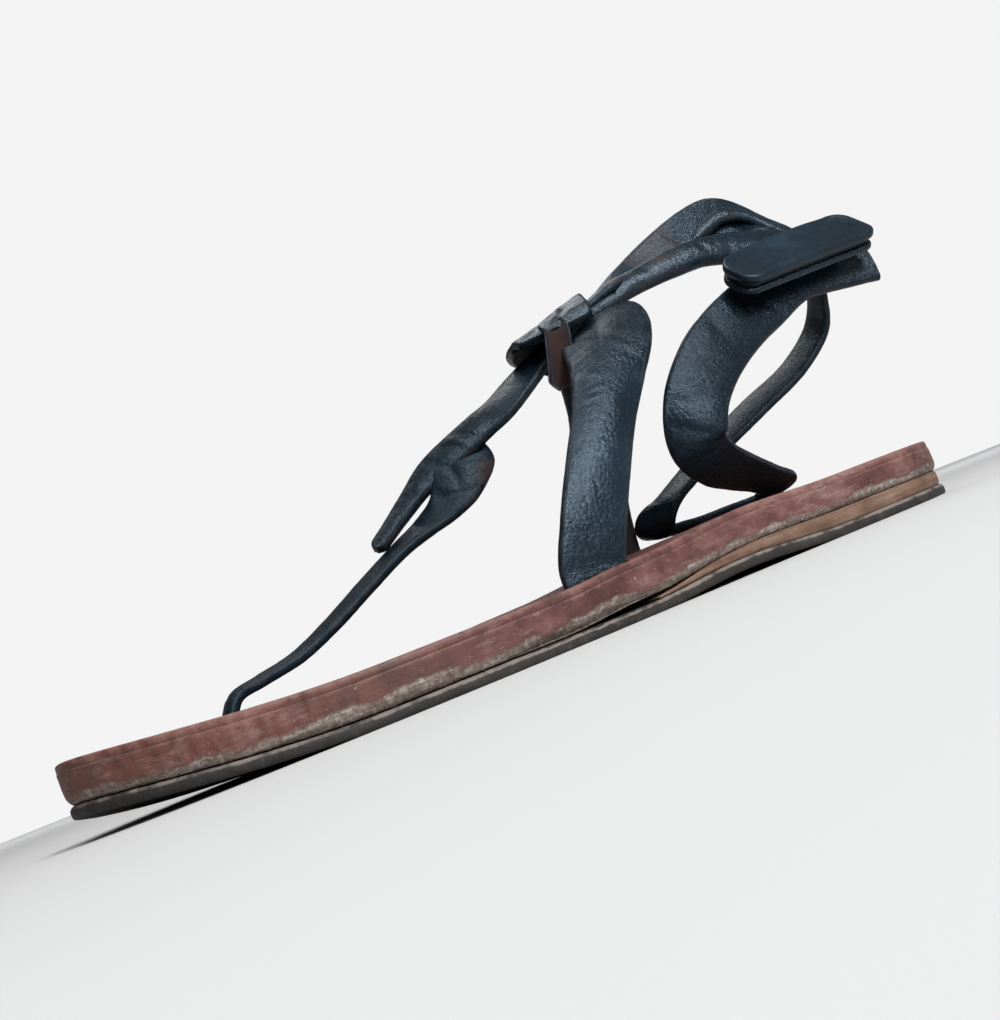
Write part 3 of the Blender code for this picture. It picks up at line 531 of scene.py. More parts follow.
MAT_RUBBER = outsole_rubber()
MAT_THREAD = thread_material()
MAT_SLIT_SHADOW = slit_shadow_material()


# ==================================================================== geometry
def wobble(x, y, z, size, seed=0.0):
    """Smooth noise in -1..1 with features about size mm across."""
    return mnoise.noise(Vector((x / size + seed * 7.31, y / size - seed * 3.77, z / size + seed * 5.13)))


def smooth_rows(xs, ys, at):
    xs, ys, at = np.asarray(xs, float), np.asarray(ys, float), np.asarray(at, float)
    h = np.diff(xs)
    d = np.diff(ys) / h
    m = np.zeros_like(ys)
    for i in range(1, len(xs) - 1):
        if d[i - 1] * d[i] > 0:
            w1, w2 = 2 * h[i] + h[i - 1], h[i] + 2 * h[i - 1]
            m[i] = (w1 + w2) / (w1 / d[i - 1] + w2 / d[i])
    m[0], m[-1] = d[0], d[-1]
    k = np.clip(np.searchsorted(xs, at, side="right") - 1, 0, len(xs) - 2)
    s = (at - xs[k]) / h[k]
    return (
        (2 * s**3 - 3 * s**2 + 1) * ys[k]
        + (s**3 - 2 * s**2 + s) * h[k] * m[k]
        + (-2 * s**3 + 3 * s**2) * ys[k + 1]
        + (s**3 - s**2) * h[k] * m[k + 1]
    )


ROWS = np.array(OUTLINE)
ROW_ANG = np.arccos(1 - 2 * ROWS[:, 0])


def outline(t):
    a = math.acos(max(-1.0, min(1.0, 1 - 2 * t)))
    return float(smooth_rows(ROW_ANG, ROWS[:, 1], [a])[0]), float(smooth_rows(ROW_ANG, ROWS[:, 2], [a])[0])


def step01(t, lo, hi):
    s = min(1.0, max(0.0, (t - lo) / (hi - lo)))
    return s * s * (3 - 2 * s)


def ground(t):
    t = min(1.0, max(0.0, t))
    z = 0.0
    if t < SPRING_FROM:
        z += TOE_SPRING * ((SPRING_FROM - t) / SPRING_FROM) ** 1.9
    if WAIST_FROM < t < WAIST_TO:
        z += ARCH_LIFT * math.sin(math.pi * (t - WAIST_FROM) / (WAIST_TO - WAIST_FROM)) ** 2
    if t > 0.965:
        z += HEEL_LIFT * ((t - 0.965) / 0.035) ** 2
    return z


def wedge_thick(t):
    return WEDGE_FRONT_THICK + (WEDGE_THICK - WEDGE_FRONT_THICK) * step01(t, WEDGE_FROM, WEDGE_FULL)


def outsole_top(t):
    return ground(t) + OUTSOLE_THICK


def wedge_room(t):
    return (wedge_thick(t) + LAYER_GAP) * step01(t, WEDGE_FROM - 0.10, WEDGE_FROM + 0.005)


def midsole_low(t):
    return outsole_top(t) + LAYER_GAP + wedge_room(t)


def midsole_top(t):
    return midsole_low(t) + MIDSOLE_THICK + (MIDSOLE_HEEL_THICK - MIDSOLE_THICK) * step01(t, 0.45, 0.80)


def insole_low(t):
    return midsole_top(t) + LAYER_GAP


def insole_top(t):
    return insole_low(t) + INSOLE_THICK


def rim_loop(n=220, t_from=0.0):
    """Points of the outline, toe tip round the lateral side to the heel tip and back, with outward normals."""
    a0 = math.acos(1 - 2 * t_from)
    ts = [(1 - math.cos(a0 + (math.pi - a0) * i / n)) / 2 for i in range(n + 1)]
    lat, med = [], []
    for t in ts:
        lo, hi = outline(t)
        x = (t - 0.5) * SOLE_LENGTH
        lat.append((x, lo))
        med.append((x, hi))
    pts = np.array(lat + med[n - 1:0:-1]) if t_from == 0.0 else np.array(lat + med[n - 1::-1])
    nxt, prv = np.roll(pts, -1, 0), np.roll(pts, 1, 0)
    tan = nxt - prv
    tan /= np.linalg.norm(tan, axis=1)[:, None] + 1e-12
    nor = np.stack([-tan[:, 1], tan[:, 0]], 1)
    if ((pts - pts.mean(0)) * nor).sum() < 0:
        nor = -nor
    # even the normals out a little round the tips
    for _ in range(4):
        nor = (nor + 0.5 * np.roll(nor, 1, 0) + 0.5 * np.roll(nor, -1, 0)) / 2
    nor /= np.linalg.norm(nor, axis=1)[:, None]
    return pts, nor, n


def build_object(name, verts, faces, mats, attrs=None, face_mats=None, uvs=None, sharp=42.0):
    me = bpy.data.meshes.new(name)
    me.from_pydata([((v[0] + SHIFT.x) * MM, (v[1] + SHIFT.y) * MM, (v[2] + SHIFT.z) * MM) for v in verts], [], faces)
    for m in mats:
        me.materials.append(m)
    if face_mats is not None:
        me.polygons.foreach_set("material_index", face_mats)
    for key, vals in (attrs or {}).items():
        at = me.attributes.new(key, "FLOAT", "POINT")
        at.data.foreach_set("value", np.asarray(vals, np.float32))
    if uvs is not None:
        layer = me.uv_layers.new(name="run")
        idx = np.zeros(len(me.loops), np.int32)
        me.loops.foreach_get("vertex_index", idx)
        layer.data.foreach_set("uv", np.asarray(uvs, np.float32)[idx].ravel())
    bm = bmesh.new()
    bm.from_mesh(me)
    bmesh.ops.remove_doubles(bm, verts=bm.verts, dist=2e-6)
    bmesh.ops.recalc_face_normals(bm, faces=bm.faces)
    bm.to_mesh(me)
    bm.free()
    me.shade_smooth()
    me.set_sharp_from_angle(angle=math.radians(sharp))
    me.update()
    ob = bpy.data.objects.new(name, me)
    bpy.context.scene.collection.objects.link(ob)
    return ob


def sole_body(name, mats, bottom, side, top, z_bottom, z_top, n=220, t_from=0.0, across=26, attr_fn=None, mat_fn=None,
              inset=0.0, side_shape=None):
    """A sole layer as rings round its outline, closed by a sheet across the top and the bottom.

    bottom and top are distances in from the edge, side is height fractions with an outward offset each.
    """
    pts, nor, n = rim_loop(n, t_from)
    m = len(pts)
    loops, kinds = [], []
    for d in bottom:
        loops.append([(pts[i] - nor[i] * (d + inset), None, d) for i in range(m)])
        kinds.append(("b", d))
    for f, o in side:
        loops.append([(pts[i] + nor[i] * (o - inset), f, 0.0) for i in range(m)])
        kinds.append(("s", f))
    for d in top:
        loops.append([(pts[i] - nor[i] * (d + inset), None, d) for i in range(m)])
        kinds.append(("t", d))
    verts, info = [], []

    def push(x, y, kind, f, d, nx=0.0, ny=0.0):
        t = x / SOLE_LENGTH + 0.5
        zb, zt = z_bottom(t, x, y, d, kind), z_top(t, x, y, d, kind)
        if kind == "b":
            z = zb
        elif kind == "t":
            z = zt
        else:
            z = zb + (zt - zb) * f
        if side_shape is not None and kind == "s":
            dx, dz = side_shape(t, x, y, z, f, ny)
            x, y, z = x + nx * dx, y + ny * dx, z + dz
        verts.append((x, y, z))
        info.append((t, kind, f if f is not None else (0.0 if kind == "b" else 1.0), d))

    for loop, (kind, _) in zip(loops, kinds):
        for i, (p, f, d) in enumerate(loop):
            push(p[0], p[1], kind, f, d, nor[i][0], nor[i][1])
    faces = []
    for k in range(len(loops) - 1):
        a, b = k * m, (k + 1) * m
        for i in range(m):
            j = (i + 1) % m
            faces.append((a + i, a + j, b + j, b + i))

    # sheets across: station i pairs a lateral and a medial point
    def partner(i):
        if t_from == 0.0:
            return (m - i) % m
        return (m - 1) - i

    for base, kind, d in ((0, "b", bottom[0]), ((len(loops) - 1) * m, "t", top[-1])):
        rows = []
        first = 1 if t_from == 0.0 else 0
        for i in range(first, n):
            j = partner(i)
            pa, pb = loops[0 if kind == "b" else -1][i][0], loops[0 if kind == "b" else -1][j][0]
            row = [base + i]
            for k in range(1, across):
                f = k / across
                x, y = pa[0] * (1 - f) + pb[0] * f, pa[1] * (1 - f) + pb[1] * f
                half = np.linalg.norm(pb - pa) / 2
                dd = d + half * (1 - abs(2 * f - 1))
                push(x, y, kind, None, dd)
                row.append(len(verts) - 1)
            row.append(base + j)
            rows.append(row)
        for r0, r1 in zip(rows[:-1], rows[1:]):
            for k in range(across):
                q = (r0[k], r0[k + 1], r1[k + 1], r1[k])
                faces.append(q if kind == "t" else q[::-1])
        ends = [(base + (0 if t_from == 0.0 else -1), rows[0]), (base + n, rows[-1])]
        for tip, row in ends:
            if tip < base:
                continue
            for k in range(across):
                faces.append((tip, row[k], row[k + 1]))
    at = {"vf": [i[2] for i in info], "tt": [i[0] for i in info]}
    if attr_fn:
        for key, fn in attr_fn.items():
            at[key] = [fn(v, i) for v, i in zip(verts, info)]
    fm = None
    if mat_fn:
        fm = [mat_fn([info[v] for v in f]) for f in faces]
    return build_object(name, verts, faces, mats, at, fm, sharp=48.0)


# ------------------------------------------------------------------ sole pieces
def crack(t, y):
    """Where the outsole has come away from the midsole along the outer side."""
    return step01(t, 0.33, 0.38) * (1 - step01(t, 0.47, 0.53)) * (1.0 if y < 0 else 0.0)


def midsole_side(t, x, y, z, f, ny):
    d = 0.16 * wobble(x, y, z, 6.0, 1) + 0.07 * wobble(x, y, z * 2.2, 1.6, 2)
    low = 1 - step01(f, 0.0, 0.30)
    d -= low * (0.30 + 0.40 * max(0.0, wobble(x, y, z, 3.2, 3)) + 0.22 * abs(wobble(x, y, z, 1.2, 4)))
    # crosswise folds round the toe
    if t < 0.30:
        d += 0.14 * (1 - step01(t, 0.16, 0.30)) * math.sin(x * 2.1 + 3.0 * wobble(x, y, z, 9.0, 5)) * step01(f, 0.1, 0.5)
    c = crack(t, y)
    dz = 0.0
    if c > 0:
        d -= c * low * 0.9
        dz += c * low * (0.45 + 0.35 * wobble(x, y, 0, 2.4, 6))
    dz += 0.18 * low * wobble(x, y, 0, 2.0, 7)
    return d, dz


midsole = sole_body(
    "midsole_leather_edge", [MAT_EDGE],
    bottom=(12.0, 6.0, 3.0, 1.6),
    side=((0.0, -0.9), (0.04, -0.45), (0.10, -0.16), (0.17, -0.04), (0.25, 0.02), (0.34, 0.05), (0.43, 0.06), (0.52, 0.06),
          (0.61, 0.05), (0.70, 0.04), (0.79, 0.03), (0.87, 0.02), (0.93, 0.01), (0.975, -0.02), (1.0, -0.06)),
    top=(1.2, 2.0, 4.0, 8.0),
    z_bottom=lambda t, x, y, d, k: midsole_low(t),
    z_top=lambda t, x, y, d, k: midsole_top(t),
    n=300, across=12, side_shape=midsole_side,
)


def footbed_print(x, y, t):
    """Soft hollows of heel, ball and toes, 0..1."""
    v = 0.0
    for cx, cy, rx, ry, s in (
        (92.0, 0.0, 22.0, 19.0, 1.0), (-30.0, 6.0, 24.0, 27.0, 1.0), (-36.0, -24.0, 26.0, 13.0, 0.7),
        (52.0, -12.0, 34.0, 10.0, 0.45), (-94.0, 17.0, 12.0, 9.0, 0.9), (-88.0, -2.0, 7.0, 6.0, 0.7),
        (-80.0, -13.0, 7.0, 5.5, 0.65), (-71.0, -23.0, 6.5, 5.0, 0.6), (-60.0, -31.0, 6.0, 4.5, 0.6),
    ):
        r = math.hypot((x - cx) / rx, (y - cy) / ry)
        v = max(v, s * (1 - step01(r, 0.45, 1.15)))
    return v


def insole_z(t, x, y, d, k):
    z = insole_top(t)
    if k == "t":
        z -= 0.34 * footbed_print(x, y, t)
        z += 0.05 * wobble(x, y, 0, 7.0, 11)
        z -= 0.28 * math.exp(-((d - 3.2) / 0.45) ** 2)        # pressed line inside the edge
    return z


insole = sole_body(
    "insole_cover", [MAT_EDGE, MAT_FOOT],
    bottom=(12.0, 4.0, 1.0),
    side=((0.0, -0.05), (0.12, 0.01), (0.35, 0.03), (0.6, 0.0), (0.8, -0.12), (0.93, -0.32), (1.0, -0.62)),
    top=(0.9, 1.5, 2.2, 2.6, 2.9, 3.2, 3.5, 3.8, 4.3, 5.5, 7.0, 9.0, 11.0),
    z_bottom=lambda t, x, y, d, k: midsole_top(t) - 0.06,
    z_top=insole_z, n=300, across=44, inset=0.12, side_shape=lambda t, x, y, z, f, ny: (midsole_side(t, x, y, z, 0.9, ny)[0] - 0.05, 0.0),
    attr_fn={"vf": lambda v, i: 0.88 + 0.12 * i[2], "press": lambda v, i: footbed_print(v[0], v[1], i[0]) if i[1] == "t" else 0.0},
    mat_fn=lambda q: 1 if all(i[1] == "t" for i in q) else 0,
)

wedge = sole_body(
    "heel_wedge_edge", [MAT_WEDGE],
    bottom=(9.0, 3.0, 1.2),
    side=((0.0, -0.5), (0.15, -0.2), (0.35, -0.08), (0.6, -0.06), (0.85, -0.16), (1.0, -0.5)),
    top=(1.2, 3.0, 9.0),
    z_bottom=lambda t, x, y, d, k: outsole_top(t) + LAYER_GAP * 0.3,
    z_top=lambda t, x, y, d, k: outsole_top(t) + LAYER_GAP * 1.7 + wedge_thick(t) * step01(t, WEDGE_FROM - 0.02, WEDGE_FROM + 0.10),
    n=170, t_from=WEDGE_FROM + 0.012, across=10, inset=0.4,
    side_shape=lambda t, x, y, z, f, ny: (0.16 * wobble(x, y, z, 5.0, 21) - 0.22 * max(0.0, wobble(x, y, z, 1.7, 22)), 0.0),
)

# tread patches: forefoot and heel, as (t from, t to, margin in mm)
PATCHES = ((0.055, 0.545, 9.0), (0.775, 0.955, 8.0))
END_ROUND = 26.0


def patch_inside(x, y, patch):
    """Distance in mm inside a tread patch (negative outside)."""
    t0, t1, margin = patch
    t = x / SOLE_LENGTH + 0.5
    if not 0.0 < t < 1.0:
        return -9.0
    lo, hi = outline(t)
    mid, half = (lo + hi) / 2, (hi - lo) / 2
    x0, x1 = (t0 - 0.5) * SOLE_LENGTH, (t1 - 0.5) * SOLE_LENGTH
    half -= margin
    # round the ends off by narrowing them like an ellipse
    r = min(END_ROUND, (x1 - x0) / 2)
    for e in (x - x0, x1 - x):
        if e < r:
            if e < 0:
                return -9.0
            half *= math.sqrt(max(0.0, 1 - (1 - e / r) ** 2))
    return half - abs(y - mid)


def outsole_z_low(t, x, y, d, k):
    z = ground(t)
    if k == "b":
        for p in PATCHES:
            s = patch_inside(x, y, p)
            z += 1.25 * step01(s, -0.35, 0.45)
        z += 0.035 * wobble(x, y, 0, 5.0, 31)
    return z


def outsole_side(t, x, y, z, f, ny):
    d = 0.14 * wobble(x, y, z, 7.0, 33)
    top = step01(f, 0.55, 1.0)
    d -= top * (0.18 + 0.35 * max(0.0, wobble(x, y, z, 2.0, 34)))
    low = 1 - step01(f, 0.0, 0.35)
    d -= low * 0.30 * max(0.0, wobble(x, y, z, 4.0, 35))
    c = crack(t, y)
    dz = -c * top * (0.35 + 0.3 * wobble(x, y, 0, 2.1, 36)) - 0.12 * top * abs(wobble(x, y, 0, 1.8, 37))
    return d + c * top * 0.25, dz


outsole = sole_body(
    "outsole_rubber_sheet", [MAT_RUBBER],
    bottom=(20.0, 17.0, 14.0, 12.0, 10.8, 10.2, 9.8, 9.4, 9.1, 8.8, 8.5, 8.2, 7.9, 7.5, 6.5, 5.0, 3.0, 1.4, 0.7),
    side=((0.0, -0.35), (0.08, -0.10), (0.2, 0.02), (0.4, 0.05), (0.6, 0.03), (0.78, -0.05), (0.92, -0.22), (1.0, -0.5)),
    top=(1.2, 3.0, 9.0),
    z_bottom=outsole_z_low,
    z_top=lambda t, x, y, d, k: outsole_top(t),
    n=300, across=70, side_shape=outsole_side,
    attr_fn={"rim": lambda v, i: (1.0 if (i[1] == "s" and 0.6 < i[2]) else (0.55 if i[1] == "s" else 0.0))},
)

# raised tread: plates cut with short slots, laid in the patches
SLOT_GROUP = [
    # x0,   x1,    y
    (0.8,   14.2,  1.3),
    (4.8,   10.2,  4.0),
    (0.8,   14.2,  6.7),
    (0.8,   6.2,   9.4),
    (8.8,   14.2,  9.4),
    (0.8,   6.2,  12.1),
    (8.8,   14.2, 12.1),
    (3.2,   6.2,  14.6),
    (8.8,   11.8, 14.6),
]
TILE_X, TILE_Y, SLOT_WIDE = 31.0, 16.2, 1.15


def tread_plate(name, patch):
    t0, t1, margin = patch
    x0, x1 = (t0 - 0.5) * SOLE_LENGTH, (t1 - 0.5) * SOLE_LENGTH
    up, low = [], []
    for i in range(1, 160):
        a = math.pi * i / 160
        x = (x0 + x1) / 2 - (x1 - x0) / 2 * math.cos(a)
        lo, hi = outline(x / SOLE_LENGTH + 0.5)
        mid = (lo + hi) / 2
        half = patch_inside(x, mid, patch) - 0.9
        if half > 0.6:
            up.append((x, mid + half))
            low.append((x, mid - half))
    loop = up + low[::-1]
    bm = bmesh.new()
    vs = [bm.verts.new((x, y, -0.0)) for x, y in loop]
    face = bm.faces.new(vs)
    ext = bmesh.ops.extrude_face_region(bm, geom=[face])
    bmesh.ops.translate(bm, vec=(0, 0, 2.0), verts=[g for g in ext["geom"] if isinstance(g, bmesh.types.BMVert)])
    bmesh.ops.recalc_face_normals(bm, faces=bm.faces)
    me = bpy.data.meshes.new(name)
    bm.to_mesh(me)
    bm.free()
    plate = bpy.data.objects.new(name, me)
    bpy.context.scene.collection.objects.link(plate)
    cm = bmesh.new()
    nx, ny = int((x1 - x0) / TILE_X) + 3, 9
    for ix in range(-1, nx):
        for iy in range(-ny, ny):
            for gx, gy in ((0.0, 0.0), (TILE_X / 2, TILE_Y / 2)):
                for a, b, y in SLOT_GROUP:
                    xa, xb = x0 + ix * TILE_X + gx + a, x0 + ix * TILE_X + gx + b
                    yc = iy * TILE_Y + gy + y
                    if min(patch_inside(xx, yy, patch) for xx in (xa, xb) for yy in (yc - 0.6, yc + 0.6)) < 2.0:
                        continue
                    if xa < x0 + 3 or xb > x1 - 3:
                        continue
                    mat = Matrix.Translation(((xa + xb) / 2, yc, 0.0)) @ Matrix.Diagonal((xb - xa, SLOT_WIDE, 1.8, 1.0))
                    bmesh.ops.create_cube(cm, size=1.0, matrix=mat)
    cme = bpy.data.meshes.new(name + "_slots")
    cm.to_mesh(cme)
    cm.free()
    cutter = bpy.data.objects.new(name + "_slots", cme)
    bpy.context.scene.collection.objects.link(cutter)
    mod = plate.modifiers.new("slots", "BOOLEAN")
    mod.operation, mod.solver, mod.object = "DIFFERENCE", "EXACT", cutter
    dg = bpy.context.evaluated_depsgraph_get()
    out = bpy.data.meshes.new_from_object(plate.evaluated_get(dg))
    bpy.data.objects.remove(plate, do_unlink=True)
    bpy.data.objects.remove(cutter, do_unlink=True)
    bm = bmesh.new()
    bm.from_mesh(out)
    for k in range(1, int((x1 - x0) / 3.0)):
        geom = list(bm.verts) + list(bm.edges) + list(bm.faces)
        bmesh.ops.bisect_plane(bm, geom=geom, plane_co=(x0 + 3.0 * k, 0, 0), plane_no=(1, 0, 0), dist=1e-5)
    bmesh.ops.triangulate(bm, faces=bm.faces)
    for v in bm.verts:
        x, y, z = v.co
        wear = 0.10 * wobble(x, y, 0, 9.0, 41) if z < 0.1 else 0.0
        v.co = Vector(((x + SHIFT.x) * MM, (y + SHIFT.y) * MM, (z + ground(x / SOLE_LENGTH + 0.5) + 0.02 + max(0.0, wear)) * MM))
    bm.to_mesh(out)
    bm.free()
    at = out.attributes.new("rim", "FLOAT", "POINT")
    out.materials.clear()
    out.materials.append(MAT_RUBBER)
    out.shade_smooth()
    out.set_sharp_from_angle(angle=math.radians(30))
    out.name = name
    ob = bpy.data.objects.new(name, out)
    bpy.context.scene.collection.objects.link(ob)
    return ob


treads = [tread_plate("tread_forefoot", PATCHES[0]), tread_plate("tread_heel", PATCHES[1])]


# ----------------------------------------------------------------------- straps
def curve_rows(rows, step):
    rows = np.array(rows, float)
    p = rows[:, :3]
    seg = np.linalg.norm(np.diff(p, axis=0), axis=1)
    u = np.concatenate([[0.0], np.cumsum(np.sqrt(seg))])
    tang = np.zeros_like(rows)
    for i in range(len(rows)):
        if i == 0:
            tang[i] = (rows[1] - rows[0]) / (u[1] - u[0])
        elif i == len(rows) - 1:
            tang[i] = (rows[-1] - rows[-2]) / (u[-1] - u[-2])
        else:
            h0, h1 = u[i] - u[i - 1], u[i + 1] - u[i]
            d0, d1 = (rows[i] - rows[i - 1]) / h0, (rows[i + 1] - rows[i]) / h1
            tang[i] = (d0 * h1 + d1 * h0) / (h0 + h1)
    out = []
    for i in range(len(rows) - 1):
        h = u[i + 1] - u[i]
        n = max(1, int(round(seg[i] / step)))
        for k in range(n):
            s = k / n
            out.append(
                (2 * s**3 - 3 * s**2 + 1) * rows[i] + (s**3 - 2 * s**2 + s) * h * tang[i]
                + (-2 * s**3 + 3 * s**2) * rows[i + 1] + (s**3 - s**2) * h * tang[i + 1]
            )
    out.append(rows[-1])
    return np.array(out)


class Strap:
    """A leather strap: a smooth run through table rows, with thickness, cupping, creases and rubbed edges."""

    def __init__(self, name, rows, seed, step=0.8, cup=None, round_start=0.0, round_end=0.0, creases=1.0, bend=1.0,
                 edge_r=0.42, ridge=0.0, hand=(), tan=None):
        self.name, self.seed = name, seed
        self.hand, self.tan = hand, tan
        s = curve_rows(rows, step)
        self.samples = s
        self.dist = np.concatenate([[0.0], np.cumsum(np.linalg.norm(np.diff(s[:, :3], axis=0), axis=1))])
        self.length = self.dist[-1]
        self.frames = []
        for i, row in enumerate(s):
            a, b = s[max(0, i - 1), :3], s[min(len(s) - 1, i + 1), :3]
            tan = Vector(b - a).normalized()
            face = Vector(row[3:6])
            face = (face - tan * face.dot(tan)).normalized()
            across = tan.cross(face).normalized()
            self.frames.append((Vector(row[:3]), across, face, tan, row[6], row[7]))
        self.cup = cup or (lambda f: 0.0)
        self.round_start, self.round_end = round_start, round_end
        self.edge_r, self.ridge = edge_r, ridge
        # how sharply the strap bends at each section
        bendv = [0.0]
        for i in range(1, len(self.frames) - 1):
            bendv.append(self.frames[i - 1][3].angle(self.frames[i + 1][3]) / max(1e-6, self.dist[i + 1] - self.dist[i - 1]))
        bendv.append(0.0)
        self.bend = np.convolve(bendv, np.ones(7) / 7, "same") if len(bendv) > 7 else np.array(bendv)
        rng = np.random.default_rng(seed)
        self.folds = []
        pos = 2.0
        while pos < self.length - 2.0:
            k = float(np.interp(pos, self.dist, self.bend))
            amp = creases * (0.035 + min(0.16, 3.2 * k * bend)) * rng.uniform(0.4, 1.2)
            self.folds.append((pos, amp, rng.uniform(0.35, 0.9), rng.uniform(-0.45, 0.45), rng.uniform(-0.8, 0.8),
                               rng.uniform(0.35, 1.1), rng.uniform(0, 50)))
            pos += rng.uniform(1.3, 4.2) * (1.0 if k < 0.02 else 0.62)

    def width(self, i):
        w, d = self.frames[i][4], self.dist[i]
        for r, e in ((self.round_start, d), (self.round_end, self.length - d)):
            if r > 0 and e < r:
                w *= max(0.30, math.sqrt(max(0.0, 1 - (1 - e / r) ** 2)))
        w *= 1 + 0.018 * mnoise.noise(Vector((d / 7.0, self.seed * 1.7, 0.0)))
        return w

    def relief(self, u, v, w):
        """Height of the grain side's creases at u along and v across."""
        z = 0.0
        for pos, amp, wid, slope, centre, reach, ph in self.folds:
            du = u - pos - slope * v - 0.35 * math.sin(v * 0.9 + ph)
            if abs(du) > 3.2 * wid:
                continue
            side = abs(2 * v / w - centre)
            if side > reach:
                continue
            z -= amp * math.exp(-(du / wid) ** 2) * (1 - (side / reach) ** 2)
        # creases placed one by one: along, across, depth (ridge if negative), width, slope, reach
        for u0, v0, amp, wid, slope, reach in self.hand:
            dv = v - v0
            du = u - u0 - slope * dv + 0.25 * math.sin(0.8 * dv + u0)
            if abs(dv) > reach or abs(du) > 3.2 * wid:
                continue
            z -= amp * math.exp(-(du / wid) ** 2) * (1 - (dv / reach) ** 2)
        z += 0.05 * mnoise.noise(Vector((u / 3.1, v / 3.1, self.seed)))
        return z

    def surface(self, u, v):
        """Point and normal on the grain side."""
        i = int(np.clip(np.searchsorted(self.dist, u) - 1, 0, len(self.dist) - 2))
        f = (u - self.dist[i]) / (self.dist[i + 1] - self.dist[i])
        A, B = self.frames[i], self.frames[i + 1]
        c, ac, fc = A[0].lerp(B[0], f), A[1].lerp(B[1], f).normalized(), A[2].lerp(B[2], f).normalized()
        w, h = A[4] + (B[4] - A[4]) * f, A[5] + (B[5] - A[5]) * f
        k = self.cup(u / self.length) * ((2 * v / w) ** 2)
        return c + ac * v + fc * (h / 2 + k + self.relief(u, v, w)), fc, A[3].lerp(B[3], f).normalized()

    def build(self, mats, top_n=15, flesh_top_from=None, flesh_top_to=None):
        verts, rim, tan_spots, uvs, faces, fmat = [], [], [], [], [], []
        ring_kind = None
        for i, (c, ac, fc, tan, w0, h) in enumerate(self.frames):
            w = self.width(i)
            u = self.dist[i]
            r = min(self.edge_r * h, 0.45 * w)
            cup = self.cup(u / self.length)
            prof = []
            for k in range(top_n):
                v = (-(w / 2 - r) + (w - 2 * r) * k / (top_n - 1))
                prof.append((v, h / 2, "t", max(0.0, 1 - (w / 2 - abs(v)) / 1.6)))
            for k in range(1, 4):
                a = math.pi / 2 * k / 4
                prof.append((w / 2 - r + r * math.sin(a), h / 2 - r + r * math.cos(a), "e", 1.0))
            prof.append((w / 2, h / 2 - r, "e", 0.9))
            prof.append((w / 2, -(h / 2 - r), "e", 0.7))
            for k in range(1, 4):
                a = math.pi / 2 * k / 4
                prof.append((w / 2 - r + r * math.cos(a), -(h / 2 - r) - r * math.sin(a), "e", 0.5))
            for k in range(top_n):
                v = ((w / 2 - r) - (w - 2 * r) * k / (top_n - 1))
                prof.append((v, -h / 2, "b", 0.0))
            for k in range(1, 4):
                a = math.pi / 2 * k / 4
                prof.append((-(w / 2 - r) - r * math.sin(a), -(h / 2 - r) - r * math.cos(a), "e", 0.5))
            prof.append((-w / 2, -(h / 2 - r), "e", 0.7))
            prof.append((-w / 2, (h / 2 - r), "e", 0.9))
            for k in range(1, 4):
                a = math.pi / 2 * k / 4
                prof.append((-(w / 2 - r) - r * math.cos(a), (h / 2 - r) + r * math.sin(a), "e", 1.0))
            if ring_kind is None:
                ring_kind = [p[2] for p in prof]
            for v, b, kind, e in prof:
                z = cup * (2 * v / w) ** 2
                if kind == "t":
                    z += self.relief(u, v, w)
                    if self.ridge:
                        z += self.ridge * (1 - min(1.0, abs(2 * v / w)) ** 2)
                elif kind == "b":
                    z += 0.4 * self.relief(u, v, w) + 0.05 * mnoise.noise(Vector((u / 2.0, v / 2.0, self.seed + 9)))
                else:
                    z += 0.06 * mnoise.noise(Vector((u / 1.8, b * 2.0, self.seed + 3)))
                    v = v + 0.05 * mnoise.noise(Vector((u / 1.4, b, self.seed + 5)))
                p = c + ac * v + fc * (b + z)
                verts.append(p)
                rim.append(e)
                tan_spots.append(self.tan(u, v) if self.tan and kind != "b" else 0.0)
                uvs.append((u / 100.0, v / 100.0 + (0.0 if kind == "t" else 0.5)))
        n = len(ring_kind)
        for i in range(len(self.frames) - 1):
            um = (self.dist[i] + self.dist[i + 1]) / 2
            for k in range(n):
                j = (k + 1) % n
                faces.append((i * n + k, i * n + j, (i + 1) * n + j, (i + 1) * n + k))
                kind = "b" if (ring_kind[k] == "b" and ring_kind[j] == "b") else ring_kind[k]
                m = 1 if kind == "b" else 0
                if flesh_top_from is not None and flesh_top_from < um < flesh_top_to and kind == "t" and ring_kind[j] == "t":
                    m = 2
                fmat.append(m)
        for base, flip in ((0, True), ((len(self.frames) - 1) * n, False)):
            mid = sum((Vector(verts[base + k]) for k in range(n)), Vector()) / n
            verts.append(mid)
            rim.append(0.8)
            tan_spots.append(0.0)
            uvs.append((0.0, 0.0))
            cidx = len(verts) - 1
            for k in range(n):
                j = (k + 1) % n
                faces.append((base + j, base + k, cidx) if flip else (base + k, base + j, cidx))
                fmat.append(0)
        return build_object(self.name, verts, faces, mats, {"rim": rim, "tan": tan_spots}, fmat, uvs, sharp=55.0)


def bump_at(x, c, w):
    return math.exp(-((x - c) / w) ** 2)
